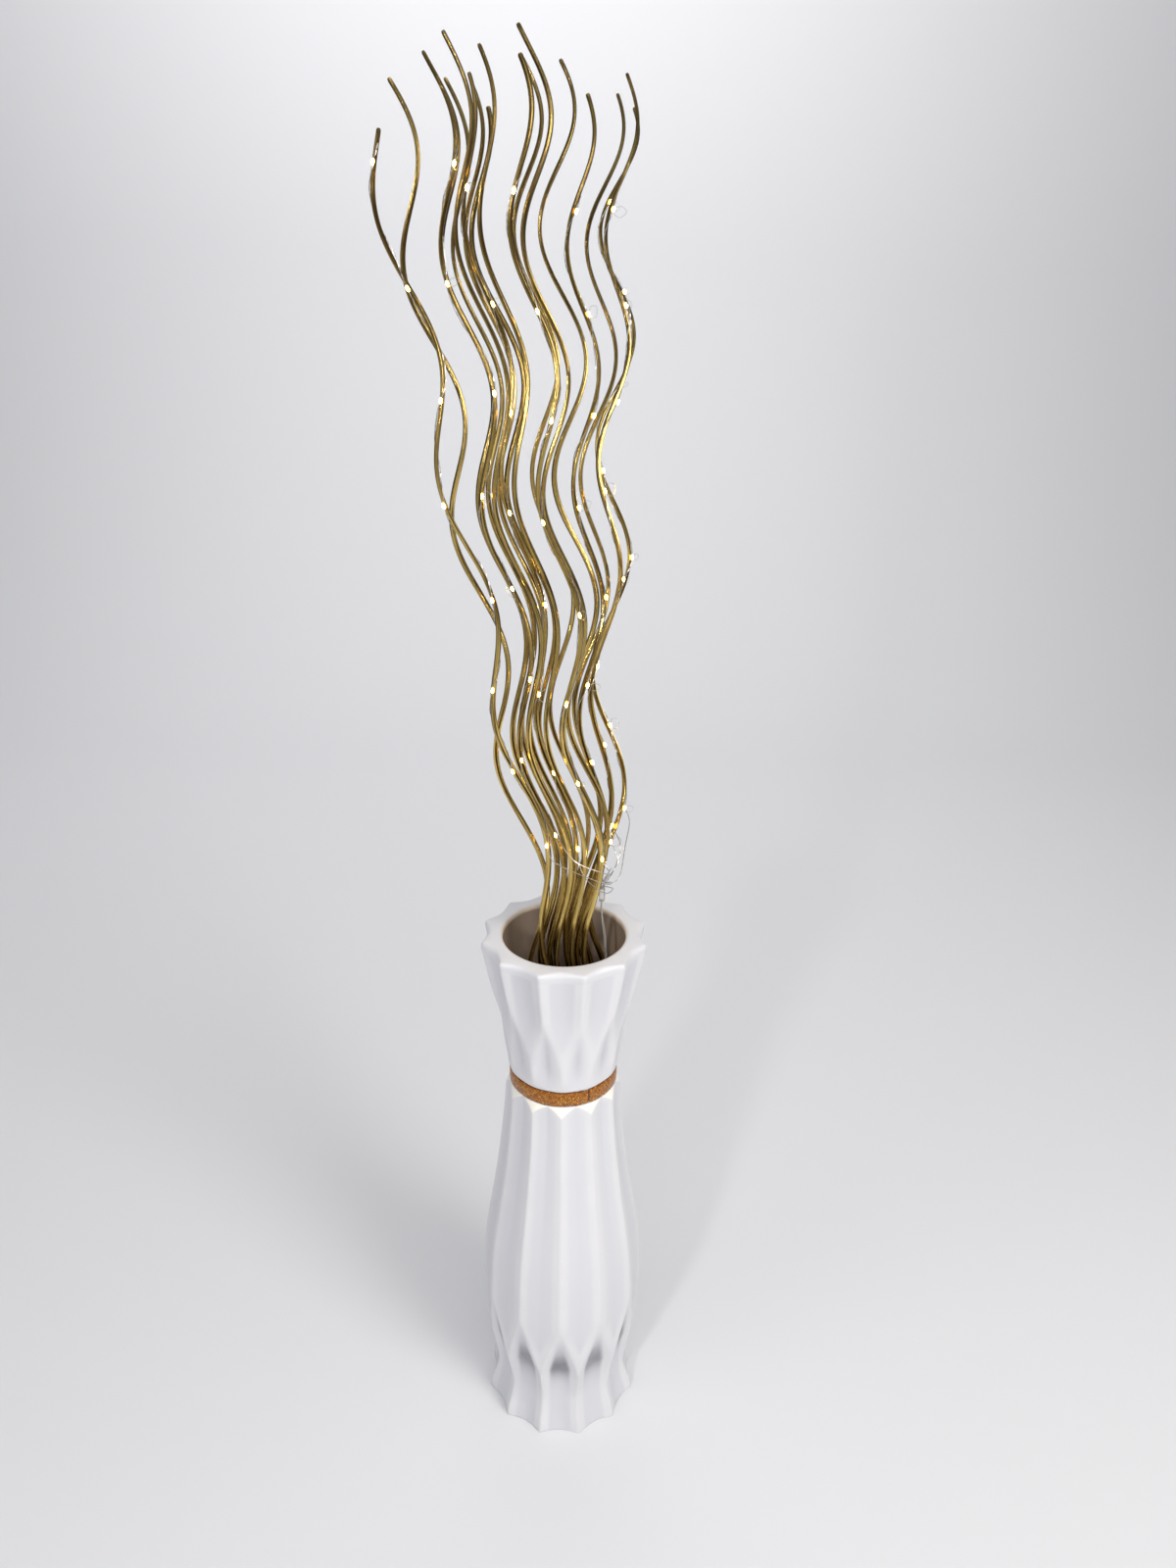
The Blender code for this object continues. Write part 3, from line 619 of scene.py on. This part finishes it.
def stem_radius(number, height):
    return THICK + (THIN - THICK) * height / STEMS[number][4]


print("stem 17 leans back %.0f mm" % stem_centre(17, STEMS[17][4])[1])

# %% [markdown]
# ## Skin the stems
#
# Dried stems are not round rods. They shrink into long ribs, they are a little flat, and their
# thickness wanders. Each ring is therefore a lobed oval that turns slowly along the stem. The ribs
# are real shape and not only bump, because they break the paint's shine into the long streaks that
# the eye reads as gilded straw.

# %% Skin eighteen stems
STEM_SIDES, STEM_STEP = 18, 4.0
TIP_ROUND, TIP_SHARE = 1.2, 0.7  # the cut ends are only a little rounded
stem_skins = {}
for number, row in STEMS.items():
    dice = random.Random(100 + number)
    foot, tip = FLOOR_TOP + GAP, row[4] - 0.6
    levels = np.append(np.linspace(foot, tip - TIP_ROUND, int((tip - foot) / STEM_STEP)), tip)
    path = np.array([stem_centre(number, z) for z in levels])
    phases = [dice.uniform(0, 2 * math.pi) for _ in range(6)]
    wander = 0.045 * np.sin(levels / 31 + phases[0]) + 0.035 * np.sin(levels / 13 + phases[1])
    taper = np.where(levels == tip, TIP_SHARE, 1.0)
    radii = np.array([stem_radius(number, z) for z in levels]) * (0.97 + wander) * taper
    ribs = dice.choice([4, 5, 6])

    def lobed(angle, share, phases=phases, ribs=ribs):
        twist = 3.5 * share + 0.6 * math.sin(9 * share + phases[2])
        return (1 + 0.11 * np.cos(2 * (angle + twist) + phases[3])
                + 0.12 * np.cos(ribs * (angle + 0.6 * twist) + phases[4])
                + 0.03 * np.cos((ribs + 3) * angle + phases[5]))

    stem_skins[number] = skin(tube_rings(path, radii, STEM_SIDES, lobed))
print("stems:", len(stem_skins), "with", sum(len(s[1]) for s in stem_skins.values()), "faces")

# %% [markdown]
# ## Gold spray paint on dried stems
#
# Spray gold is brass-coloured mica and metal powder in lacquer, so it is mostly metallic. It dries
# glossy where it lies thick, with a roughness near 0.2, and duller where it is thin and the brown
# stem darkens it. Its streaks are half a millimetre wide and some twenty long. A noise stretched
# along the UV map's second direction gives them at that size. Higher up, towards the tips, the
# colour is darkened further as painted shade.

# %% Make the gold paint
gold, shader = new_material("gold sprayed willow", Metallic=0.92, Coat_Weight=0.1,
                            Coat_Roughness=0.3)
run = add_node(gold, "UVMap", uv_map="run").outputs["UV"]
place = add_node(gold, "TexCoord").outputs["Object"]
STREAK, BROAD, SPRAY = (0.5, 22.2), (2.4, 143), 62.5  # across and along the stem
fine = add_node(gold, "Mapping", {
    "Vector": run, "Scale": (repeats(STREAK[0]), repeats(STREAK[1]), 1.0)})
streak = add_node(gold, "TexNoise", {
    "Vector": fine.outputs["Vector"], "Scale": 1.0, "Detail": 5.0, "Roughness": 0.6})
broad = add_node(gold, "Mapping", {
    "Vector": run, "Scale": (repeats(BROAD[0]), repeats(BROAD[1]), 1.0)})
band_of_grain = add_node(gold, "TexNoise", {
    "Vector": broad.outputs["Vector"], "Scale": 1.0, "Detail": 3.0})
spray = add_node(gold, "TexNoise", {"Vector": place, "Scale": repeats(SPRAY), "Detail": 3.0})
grain = add_node(gold, "Math", {
    0: band_of_grain.outputs["Fac"], 1: 1.8, 2: streak.outputs["Fac"]},
    operation="MULTIPLY_ADD").outputs[0]
paint = add_node(gold, "MapRange", {
    "Value": grain, "From Min": 1.24, "From Max": 1.52}).outputs["Result"]
cover = add_node(gold, "MapRange", {
    "Value": spray.outputs["Fac"], "From Min": 0.4, "From Max": 0.65,
    "To Max": 0.45}).outputs["Result"]
# Painted shade: the stems turn darker and browner with height, towards their tips, where less light
# reaches.
height = add_node(gold, "SeparateXYZ", {0: place}).outputs["Z"]
painted_tip_shade = add_node(gold, "MapRange", {
    "Value": height, "From Min": 0.95, "From Max": 1.3, "To Max": 0.75}).outputs["Result"]
tone = colour("#362404")
for amount, over in ((paint, "#E9CA78"), (cover, "#795A1C"), (painted_tip_shade, "#503D1C")):
    tone = add_node(gold, "Mix", {0: amount, 6: tone, 7: colour(over)},
                    data_type="RGBA").outputs[2]
link(gold, tone, shader, "Base Color")
sheen = add_node(gold, "MapRange", {
    "Value": streak.outputs["Fac"], "From Min": 0.3, "From Max": 0.7, "To Min": 0.32,
    "To Max": 0.15}).outputs["Result"]
link(gold, sheen, shader, "Roughness")
grooves = add_node(gold, "Bump", {"Height": grain, "Strength": 0.5, "Distance": 0.3 * MM})
link(gold, grooves.outputs["Normal"], shader, "Normal")
for number, stem_skin in stem_skins.items():
    add_piece(f"willow_{number:02d}", [stem_skin], gold, [f"stem_{number:02d}"])
print("gold paint:", len(gold.node_tree.nodes), "nodes")

# %% [markdown]
# ## The strings of lights
#
# Each string is a pair of hair-thin wires, twisted together, that leaves the lead's sleeve, passes
# round the bunch and climbs one stem in a turn for each light. Every 77 mm the pair parts round a
# tiny light chip and a clear resin drop covers it. The path is worked out from the stem's own centre
# line, so a wire never sinks into its stem. Here and there a slack loop of wire stands off.

# %% Sizes and paths of the strings, in millimetres
BULBS, BULB_START, BULB_STEP, BULB_RADIUS, BULB_LENGTH = 8, 706, 77, 1.15, 4.4
WIRE_OFF_STEM, WIRE_THIN, TWIST, TWIST_REACH = 0.6, 0.24, 9.0, 0.26
SLEEVE_TOP, START_CIRCLE, START_RISE = np.array([36.0, 2.0, 648.0]), 2.1, 3
WANDER = 0.25  # how unevenly a hand winds the wire
SLACK_STRINGS = (2, 3, 4, 5, 6, 7)  # the first is pulled tight
# string: (host stem, angle of its bulbs, height of its first bulb on the stem less BULB_START,
#          angle of its start on the sleeve, the wire's way from the sleeve to the stem)
STRINGS = {
    1: (1, -100, 0, 111, [(44, -12, 662), (40, -32, 670), (12, -38, 684), (-10, -37, 696)]),
    2: (4, -80, 4, 214, [(42, -10, 669), (38, -30, 680), (16, -35, 691), (4, -32, 700)]),
    3: (7, -60, -10, 265, [(46, -14, 656), (38, -36, 663), (22, -35, 675), (15, -29, 686)]),
    4: (12, -90, -14, 162, [(44, -10, 675), (41, -27, 682)]),
    5: (14, -20, -16, 317, [(46, 4, 664), (50, 8, 678)]),
    6: (16, 0, -8, 59, [(50, 12, 668), (53, 24, 684)]),
    7: (17, -30, 4, 8, [(52, 8, 656), (58, 26, 682), (62, 42, 700)]),
}


def smooth_route(points, steps):
    """A smooth curve through a route, steps from each of its points to the next."""
    points, out = [np.array(p, float) for p in points], []
    for i in range(len(points) - 1):
        before, after = points[max(i - 1, 0)], points[min(i + 2, len(points) - 1)]
        out += [cubic(t, points[i], points[i + 1], (points[i + 1] - before) / 2,
                      (after - points[i]) / 2) for t in np.arange(steps) / steps]
    return out + [points[-1]]


def beside_stem(number, height, angle, reach):
    """A point beside a stem, square to it. Angle 0 is towards +X and a quarter turn is +Y."""
    centre = stem_centre(number, height)
    along = stem_centre(number, height + 1) - stem_centre(number, height - 1)
    along /= np.linalg.norm(along)
    right = np.array([1.0, 0, 0]) - along * along[0]
    right /= np.linalg.norm(right)
    back = np.cross(along, right)
    reach += stem_radius(number, height)
    return centre + reach * (math.cos(angle) * right + math.sin(angle) * back)


def string_path(number):
    """The middle line of one string, from the sleeve to its last light."""
    host, bulb_degrees, rise, start_degrees, way = STRINGS[number]
    around, bulb_angle = math.radians(start_degrees), math.radians(bulb_degrees)
    start = SLEEVE_TOP + [START_CIRCLE * math.cos(around), START_CIRCLE * math.sin(around), GAP]
    first = BULB_START + rise
    climb = [beside_stem(host, first + BULB_STEP * turn,
                         bulb_angle + 2 * math.pi * turn + WANDER * math.sin(11 * turn + number),
                         WIRE_OFF_STEM + WANDER * math.sin(23 * turn + 2 * number) ** 2)
             for turn in np.linspace(0, BULBS - 1 + 0.15, 24 * BULBS)]
    way = smooth_route([start + [0, 0, START_RISE], *way, climb[0]], 10)
    return np.array([start, *way, *climb[1:]])


def distances(path):
    """How far along a path each of its points lies."""
    return np.concatenate([[0], np.cumsum(np.linalg.norm(np.diff(path, axis=0), axis=1))])


paths = {number: string_path(number) for number in STRINGS}
print("strings, mm:", {number: round(distances(path)[-1]) for number, path in paths.items()})

# %% [markdown]
# Two strands wind about each path. A drop is a long bead laid along the stem, and its points keep
# how near they are to its middle, where the chip sits. The slack loops are set by a fixed random
# seed, so every run gives the same ones.

# %% Twist the wires and set out the resin drops
def twin(path, step, turn_length, reach):
    """Two strands that wind about a path, with points an even step apart."""
    along = distances(path)
    at = np.linspace(0, along[-1], int(along[-1] / step))
    line = np.stack([np.interp(at, along, path[:, i]) for i in range(3)], axis=1)
    square = tube_rings(line, np.full(len(line), reach), 4) - line[:, None]
    turn = (2 * math.pi * at / turn_length)[:, None]
    offset = np.cos(turn) * square[:, 0] + np.sin(turn) * square[:, 1]
    return line + offset, line - offset


WIRE_STEP, WIRE_SIDES, LOOP_THIN, LOOP_CHANCE = 1.8, 5, 0.18, 0.6
DROP_RINGS, DROP_SIDES, DROP_END = 11, 10, 0.3
wire_parts, drop_parts, drop_heat = {}, {}, {}
for number, path in paths.items():
    host, bulb_degrees, rise = STRINGS[number][:3]
    dice = random.Random(200 + number)
    wire_parts[number] = [
        skin(tube_rings(strand, np.full(len(strand), WIRE_THIN), WIRE_SIDES))
        for strand in twin(path, WIRE_STEP, TWIST, TWIST_REACH)]
    drop_parts[number], drop_heat[number] = [], []
    for bulb in range(BULBS):
        height = BULB_START + rise + BULB_STEP * bulb
        angle = math.radians(bulb_degrees)
        middle = beside_stem(host, height, angle, BULB_RADIUS + 0.1)
        along = stem_centre(host, height + 1) - stem_centre(host, height - 1)
        along /= np.linalg.norm(along)
        steps = np.linspace(-1, 1, DROP_RINGS)
        drop = middle + (steps * BULB_LENGTH / 2)[:, None] * along
        swell = DROP_END + (BULB_RADIUS - DROP_END) * (1 - steps**2) ** 0.6
        drop_parts[number].append(skin(tube_rings(drop, swell, DROP_SIDES)))
        drop_heat[number] += [*np.repeat(1 - steps**2, DROP_SIDES), 0, 0]
        if number in SLACK_STRINGS and dice.random() < LOOP_CHANCE:
            size, lean = dice.uniform(2.5, 6), dice.uniform(-0.4, 1.2)
            out = beside_stem(host, height, angle + lean, 2 * size + 1) - middle
            up = along * dice.uniform(0.5, 1.4) * size
            loop = smooth_route([middle, middle + out * 0.5 + up, middle + out + up * 0.4,
                                 middle + out * 0.6 - up, middle - up * 0.6], 6)
            wire_parts[number].append(
                skin(tube_rings(np.array(loop), np.full(len(loop), LOOP_THIN), 4)))
print("drops:", sum(len(d) for d in drop_parts.values()))

# %% [markdown]
# ## Silvered copper wire and lit resin
#
# The wire is copper with a thin silver coat and clear varnish: fully metallic, pale and quite
# smooth. The drops are clear UV-set resin over a warm white chip. Lit, the chip floods the whole
# drop, hottest in the middle and amber towards its ends. So the drop itself gives the light, which
# also gilds the stem beside it. A lamp for each drop would cost much more and look the same.

# %% Make wire and resin, and add the strings
wire, shader = new_material("silvered copper wire", Metallic=1.0)
place = add_node(wire, "TexCoord").outputs["Object"]
TARNISH = 11
tarnish = add_node(wire, "TexNoise", {"Vector": place, "Scale": repeats(TARNISH), "Detail": 2.0})
tone = add_node(wire, "Mix", {
    0: tarnish.outputs["Fac"], 6: colour("#DCD9D2"), 7: colour("#A89F90")},
    data_type="RGBA").outputs[2]
link(wire, tone, shader, "Base Color")
dulled = add_node(wire, "MapRange", {
    "Value": tarnish.outputs["Fac"], "To Min": 0.2, "To Max": 0.4}).outputs["Result"]
link(wire, dulled, shader, "Roughness")

resin, shader = new_material("lit resin drop", IOR=1.51, Roughness=0.12,
                             Base_Color=colour("#FFF0CF"), Emission_Strength=36.0)
heat = add_node(resin, "Attribute", attribute_name="heat").outputs["Fac"]
glow = add_node(resin, "Mix", {
    0: heat, 6: colour("#FFCB5C"), 7: colour("#FFF0C4")}, data_type="RGBA").outputs[2]
link(resin, glow, shader, "Emission Color")
for number in STRINGS:
    add_piece(f"wire_{number}", wire_parts[number], wire,
              [f"light_string_{number}"])
    add_piece(f"drops_{number}", drop_parts[number], resin,
              attributes={"heat": np.array(drop_heat[number])})
print("strings added:", len(STRINGS))

# %% [markdown]
# ## The clear lead and its sleeve
#
# The seven strings end in a clear sleeve, and a clear twin lead runs from it down inside the vase
# to the battery box. Twin lead is two round cores moulded side by side, so it is skinned as two
# touching tubes that turn slowly about each other, with a bright wire in each.

# %% Run the lead
SLEEVE_LENGTH, SLEEVE_RADIUS = 14, 3.1
JACKET_RADIUS, JACKET_REACH, CORE_RADIUS, LEAD_TURN, LEAD_STEP = 0.7, 0.66, 0.25, 260, 3
LEAD_ROUTE = [(36, 2, 620), (40, 2, 590), (42, -4, 550), (41, -6, 500), (39, -4, 450),
              (40, 0, 400), (42, 4, 300), (45, 10, 200), (42, 16, 120)]
HOLE_SHIFT, HOLE_Y = 0.75, 17  # the lead's hole in the box, from the middle of the box
box_low, box_high = (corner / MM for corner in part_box("battery_case"))
hole_x = (box_low.x + box_high.x) / 2 + HOLE_SHIFT
route = np.array(smooth_route([
    SLEEVE_TOP - [0, 0, SLEEVE_LENGTH - 2], *LEAD_ROUTE,
    (hole_x, HOLE_Y, box_high.z + 8), (hole_x, HOLE_Y, box_high.z - 2)], 12))
strands = twin(route, LEAD_STEP, LEAD_TURN, JACKET_REACH)
lead_parts = [skin(tube_rings(line, np.full(len(line), JACKET_RADIUS), 8)) for line in strands]
core_parts = [skin(tube_rings(line, np.full(len(line), CORE_RADIUS), 5)) for line in strands]
# the sleeve's radius, and the height from its top
sleeve = [(2.2, -SLEEVE_LENGTH), (2.9, -SLEEVE_LENGTH + 0.6), (SLEEVE_RADIUS, -SLEEVE_LENGTH + 2),
          (SLEEVE_RADIUS, -8), (2.8, -6), (2.8, -4), (SLEEVE_RADIUS, -2), (2.9, -0.6), (2.2, 0)]
lead_parts.append(skin(lathe([(r, SLEEVE_TOP[2] + z) for r, z in sleeve], SLEEVE_TOP[:2], 24)))
print("lead: %.0f mm" % distances(route)[-1])

# %% [markdown]
# Soft PVC is clear with a faint warm cast, IOR 1.53, and its skin is smooth but handled, so the
# roughness changes a little along it. The wire inside shows through.

# %% Make clear PVC
HANDLED = 3.8
pvc, shader = new_material("clear soft PVC", IOR=1.53, Transmission_Weight=0.75,
                           Base_Color=colour("#F6F4EE"))
place = add_node(pvc, "TexCoord").outputs["Object"]
handled = add_node(pvc, "TexNoise", {"Vector": place, "Scale": repeats(HANDLED), "Detail": 3.0})
haze = add_node(pvc, "MapRange", {
    "Value": handled.outputs["Fac"], "To Min": 0.1, "To Max": 0.3}).outputs["Result"]
link(pvc, haze, shader, "Roughness")
add_piece("clear_lead", lead_parts, pvc, ["lead"])
add_piece("lead_cores", core_parts, wire)
print("lead and cores added")

# %% [markdown]
# ## The battery box
#
# The box on the vase's floor is moulded ABS with a flat cover, three cells side by side, and
# nickel-plated contacts. Its shapes are right in the frame, so each solid is copied and given the
# small rounded edges that a mould leaves. Only the cells and contacts need meshes of their own.

# %% Copy the moulded solids with rounded edges
def rounded_copy(name, node, width, material, body=BODY):
    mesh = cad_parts[node].data.copy()
    mesh.materials.clear()
    mesh.materials.append(material)
    piece = bpy.data.objects.new(name, mesh)
    bpy.context.scene.collection.objects.link(piece)
    weld = piece.modifiers.new("weld", "WELD")
    weld.merge_threshold = 0.01 * MM
    bevel = piece.modifiers.new("rounded edge", "BEVEL")
    bevel.width, bevel.segments, bevel.limit_method = width * MM, 3, "ANGLE"
    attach(piece, body)
    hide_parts(node)
    return piece


MOULD_GRAIN = 0.4


def moulded(name, base, roughness):
    """ABS from a spark-eroded mould: IOR 1.54 and a fine even texture."""
    material, shader = new_material(name, IOR=1.54, Base_Color=colour(base))
    place = add_node(material, "TexCoord").outputs["Object"]
    texture = add_node(material, "TexNoise", {
        "Vector": place, "Scale": repeats(MOULD_GRAIN), "Detail": 2.0}).outputs["Fac"]
    polish = add_node(material, "MapRange", {
        "Value": texture, "To Min": roughness - 0.08, "To Max": roughness + 0.1})
    link(material, polish.outputs["Result"], shader, "Roughness")
    bump = add_node(material, "Bump", {
        "Height": texture, "Strength": 0.3, "Distance": 0.1 * MM}).outputs["Normal"]
    link(material, bump, shader, "Normal")
    return material


white_abs = moulded("white moulded ABS", "#E6E6E1", 0.45)
black_abs = moulded("black moulded ABS", "#17181A", 0.4)
rounded_copy("battery_box", "battery_case", 0.5, white_abs)
rounded_copy("battery_lid", "battery_cover", 0.4, white_abs)
rounded_copy("switch_knob", "switch_slider", 0.4, black_abs, SWITCH_BODY)
print("box, lid and switch added")

# %% [markdown]
# A cell's label is film shrunk over the steel can: glossy, plain and dark, with a paler band at the
# positive end. The can shows at both ends, so one material changes from film to nickel there.

# %% Make and add the cells
RIPPLE, CELL_SIDES, BAND_FROM, BAND_TO = 3.3, 40, 38.1, 49
film, shader = new_material("shrink film over nickel", IOR=1.52)
end = add_node(film, "Attribute", attribute_name="metal").outputs["Fac"]
band = add_node(film, "Attribute", attribute_name="band").outputs["Fac"]
ink = add_node(film, "Mix", {
    0: band, 6: colour("#24384C"), 7: colour("#C8A25A")}, data_type="RGBA").outputs[2]
tone = add_node(film, "Mix", {0: end, 6: ink, 7: colour("#C9C7C0")}, data_type="RGBA").outputs[2]
link(film, tone, shader, "Base Color")
link(film, end, shader, "Metallic")
place = add_node(film, "TexCoord").outputs["Object"]
ripple = add_node(film, "TexNoise", {"Vector": place, "Scale": repeats(RIPPLE)}).outputs["Fac"]
sheen = add_node(film, "MapRange", {
    "Value": ripple, "To Min": 0.18, "To Max": 0.34}).outputs["Result"]
link(film, sheen, shader, "Roughness")
# radius, height, and 1 where the metal shows
CELL_PROFILE = [(0.05, 0.0, 1), (5.2, 0.0, 1), (5.8, 0.25, 1), (6.0, 0.2, 0), (6.7, 0.3, 0),
                (7.0, 0.9, 0), (7.0, 38, 0), (7.0, 38.2, 0), (7.0, 48.6, 0), (6.6, 49.2, 0),
                (5.6, 49.3, 0), (5.3, 49.2, 1), (2.9, 49.3, 1), (2.65, 49.6, 1), (2.6, 50.3, 1),
                (2.2, 50.48, 1), (0.05, 50.5, 1)]
for number in (1, 2, 3):
    low, high = (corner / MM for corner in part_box(f"cell_{number}"))
    way = -1 if number == 2 else 1
    foot = high.z if way < 0 else low.z
    rings = lathe([(r, foot + way * z) for r, z, _ in CELL_PROFILE],
                  ((low.x + high.x) / 2, (low.y + high.y) / 2), CELL_SIDES)
    metal = np.repeat([float(m) for _, _, m in CELL_PROFILE], CELL_SIDES)
    band_at = np.repeat([float(BAND_FROM < z < BAND_TO) for _, z, _ in CELL_PROFILE], CELL_SIDES)
    if way < 0:
        rings, metal, band_at = rings[::-1], metal[::-1], band_at[::-1]
    add_piece(f"battery_{number}", [skin(rings)], film, [f"cell_{number}"],
              attributes={"metal": np.append(metal, [1, 1]),
                          "band": np.append(band_at, [0, 0])})
print("cells added")

# %% [markdown]
# The contacts are nickel-plated spring steel: fully metallic, pale and a little brushed. Each is a
# thin plate with one wound spring for each cell that it touches, narrower where it meets the cell.

# %% Make and add the contacts
BRUSHED = (3.3, 0.25, 1.1)
nickel, shader = new_material("nickel plated spring steel", Metallic=1.0,
                              Base_Color=colour("#CFCCC5"))
place = add_node(nickel, "TexCoord").outputs["Object"]
brushed = add_node(nickel, "Mapping", {
    "Vector": place, "Scale": tuple(repeats(size) for size in BRUSHED)})
lines = add_node(nickel, "TexNoise", {"Vector": brushed.outputs["Vector"], "Scale": 1.0})
rub = add_node(nickel, "MapRange", {
    "Value": lines.outputs["Fac"], "To Min": 0.22, "To Max": 0.42}).outputs["Result"]
link(nickel, rub, shader, "Roughness")
PLATE, PLATE_EDGE, CORNER = 0.5, 0.12, 0.8
COIL_WIRE, COILS, COIL_WIDE, COIL_NARROW = 0.35, 4, 3.2, 2.1
CORNER_SIGNS = (1, 1), (-1, 1), (-1, -1), (1, -1)
for node, cells in (("contact_low_left", (1, 2)), ("contact_low_right", (3,)),
                    ("contact_high_left", (1,)), ("contact_high_right", (2, 3))):
    low, high = (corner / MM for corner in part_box(node))
    is_low = "low" in node
    floor, up = (low.z, 1) if is_low else (high.z, -1)
    middle, half = (low + high) / 2, (high - low) / 2
    x = middle.x
    loops = [[(x + sign_x * (half.x - CORNER) + (CORNER - inset) * math.cos(turn),
               middle.y + sign_y * (half.y - CORNER) + (CORNER - inset) * math.sin(turn),
               floor + up * z)
              for quarter, (sign_x, sign_y) in enumerate(CORNER_SIGNS)
              for turn in np.radians(90 * quarter + np.linspace(0, 90, 5))]
             for z, inset in ((0, PLATE_EDGE), (PLATE_EDGE, 0), (PLATE - PLATE_EDGE, 0),
                              (PLATE, PLATE_EDGE))]
    parts = [skin(np.array(loops if is_low else loops[::-1]))]
    for cell in cells:
        cell_low, cell_high = (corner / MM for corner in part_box(f"cell_{cell}"))
        end = cell_low.z - GAP if is_low else cell_high.z + GAP
        y = (cell_low.y + cell_high.y) / 2
        steps = np.linspace(0, 1, 20 * COILS)
        wide = COIL_WIDE + (COIL_NARROW - COIL_WIDE) * steps
        first, last = floor + up * (PLATE + COIL_WIRE * 0.8), end - up * COIL_WIRE
        coil = np.stack([x + wide * np.cos(2 * math.pi * COILS * steps),
                         y + wide * np.sin(2 * math.pi * COILS * steps),
                         first + (last - first) * steps], axis=1)
        parts.append(skin(tube_rings(coil, np.full(len(coil), COIL_WIRE), 8)))
    add_piece(node.replace("contact", "spring_plate"), parts, nickel, [node])
print("contacts added")
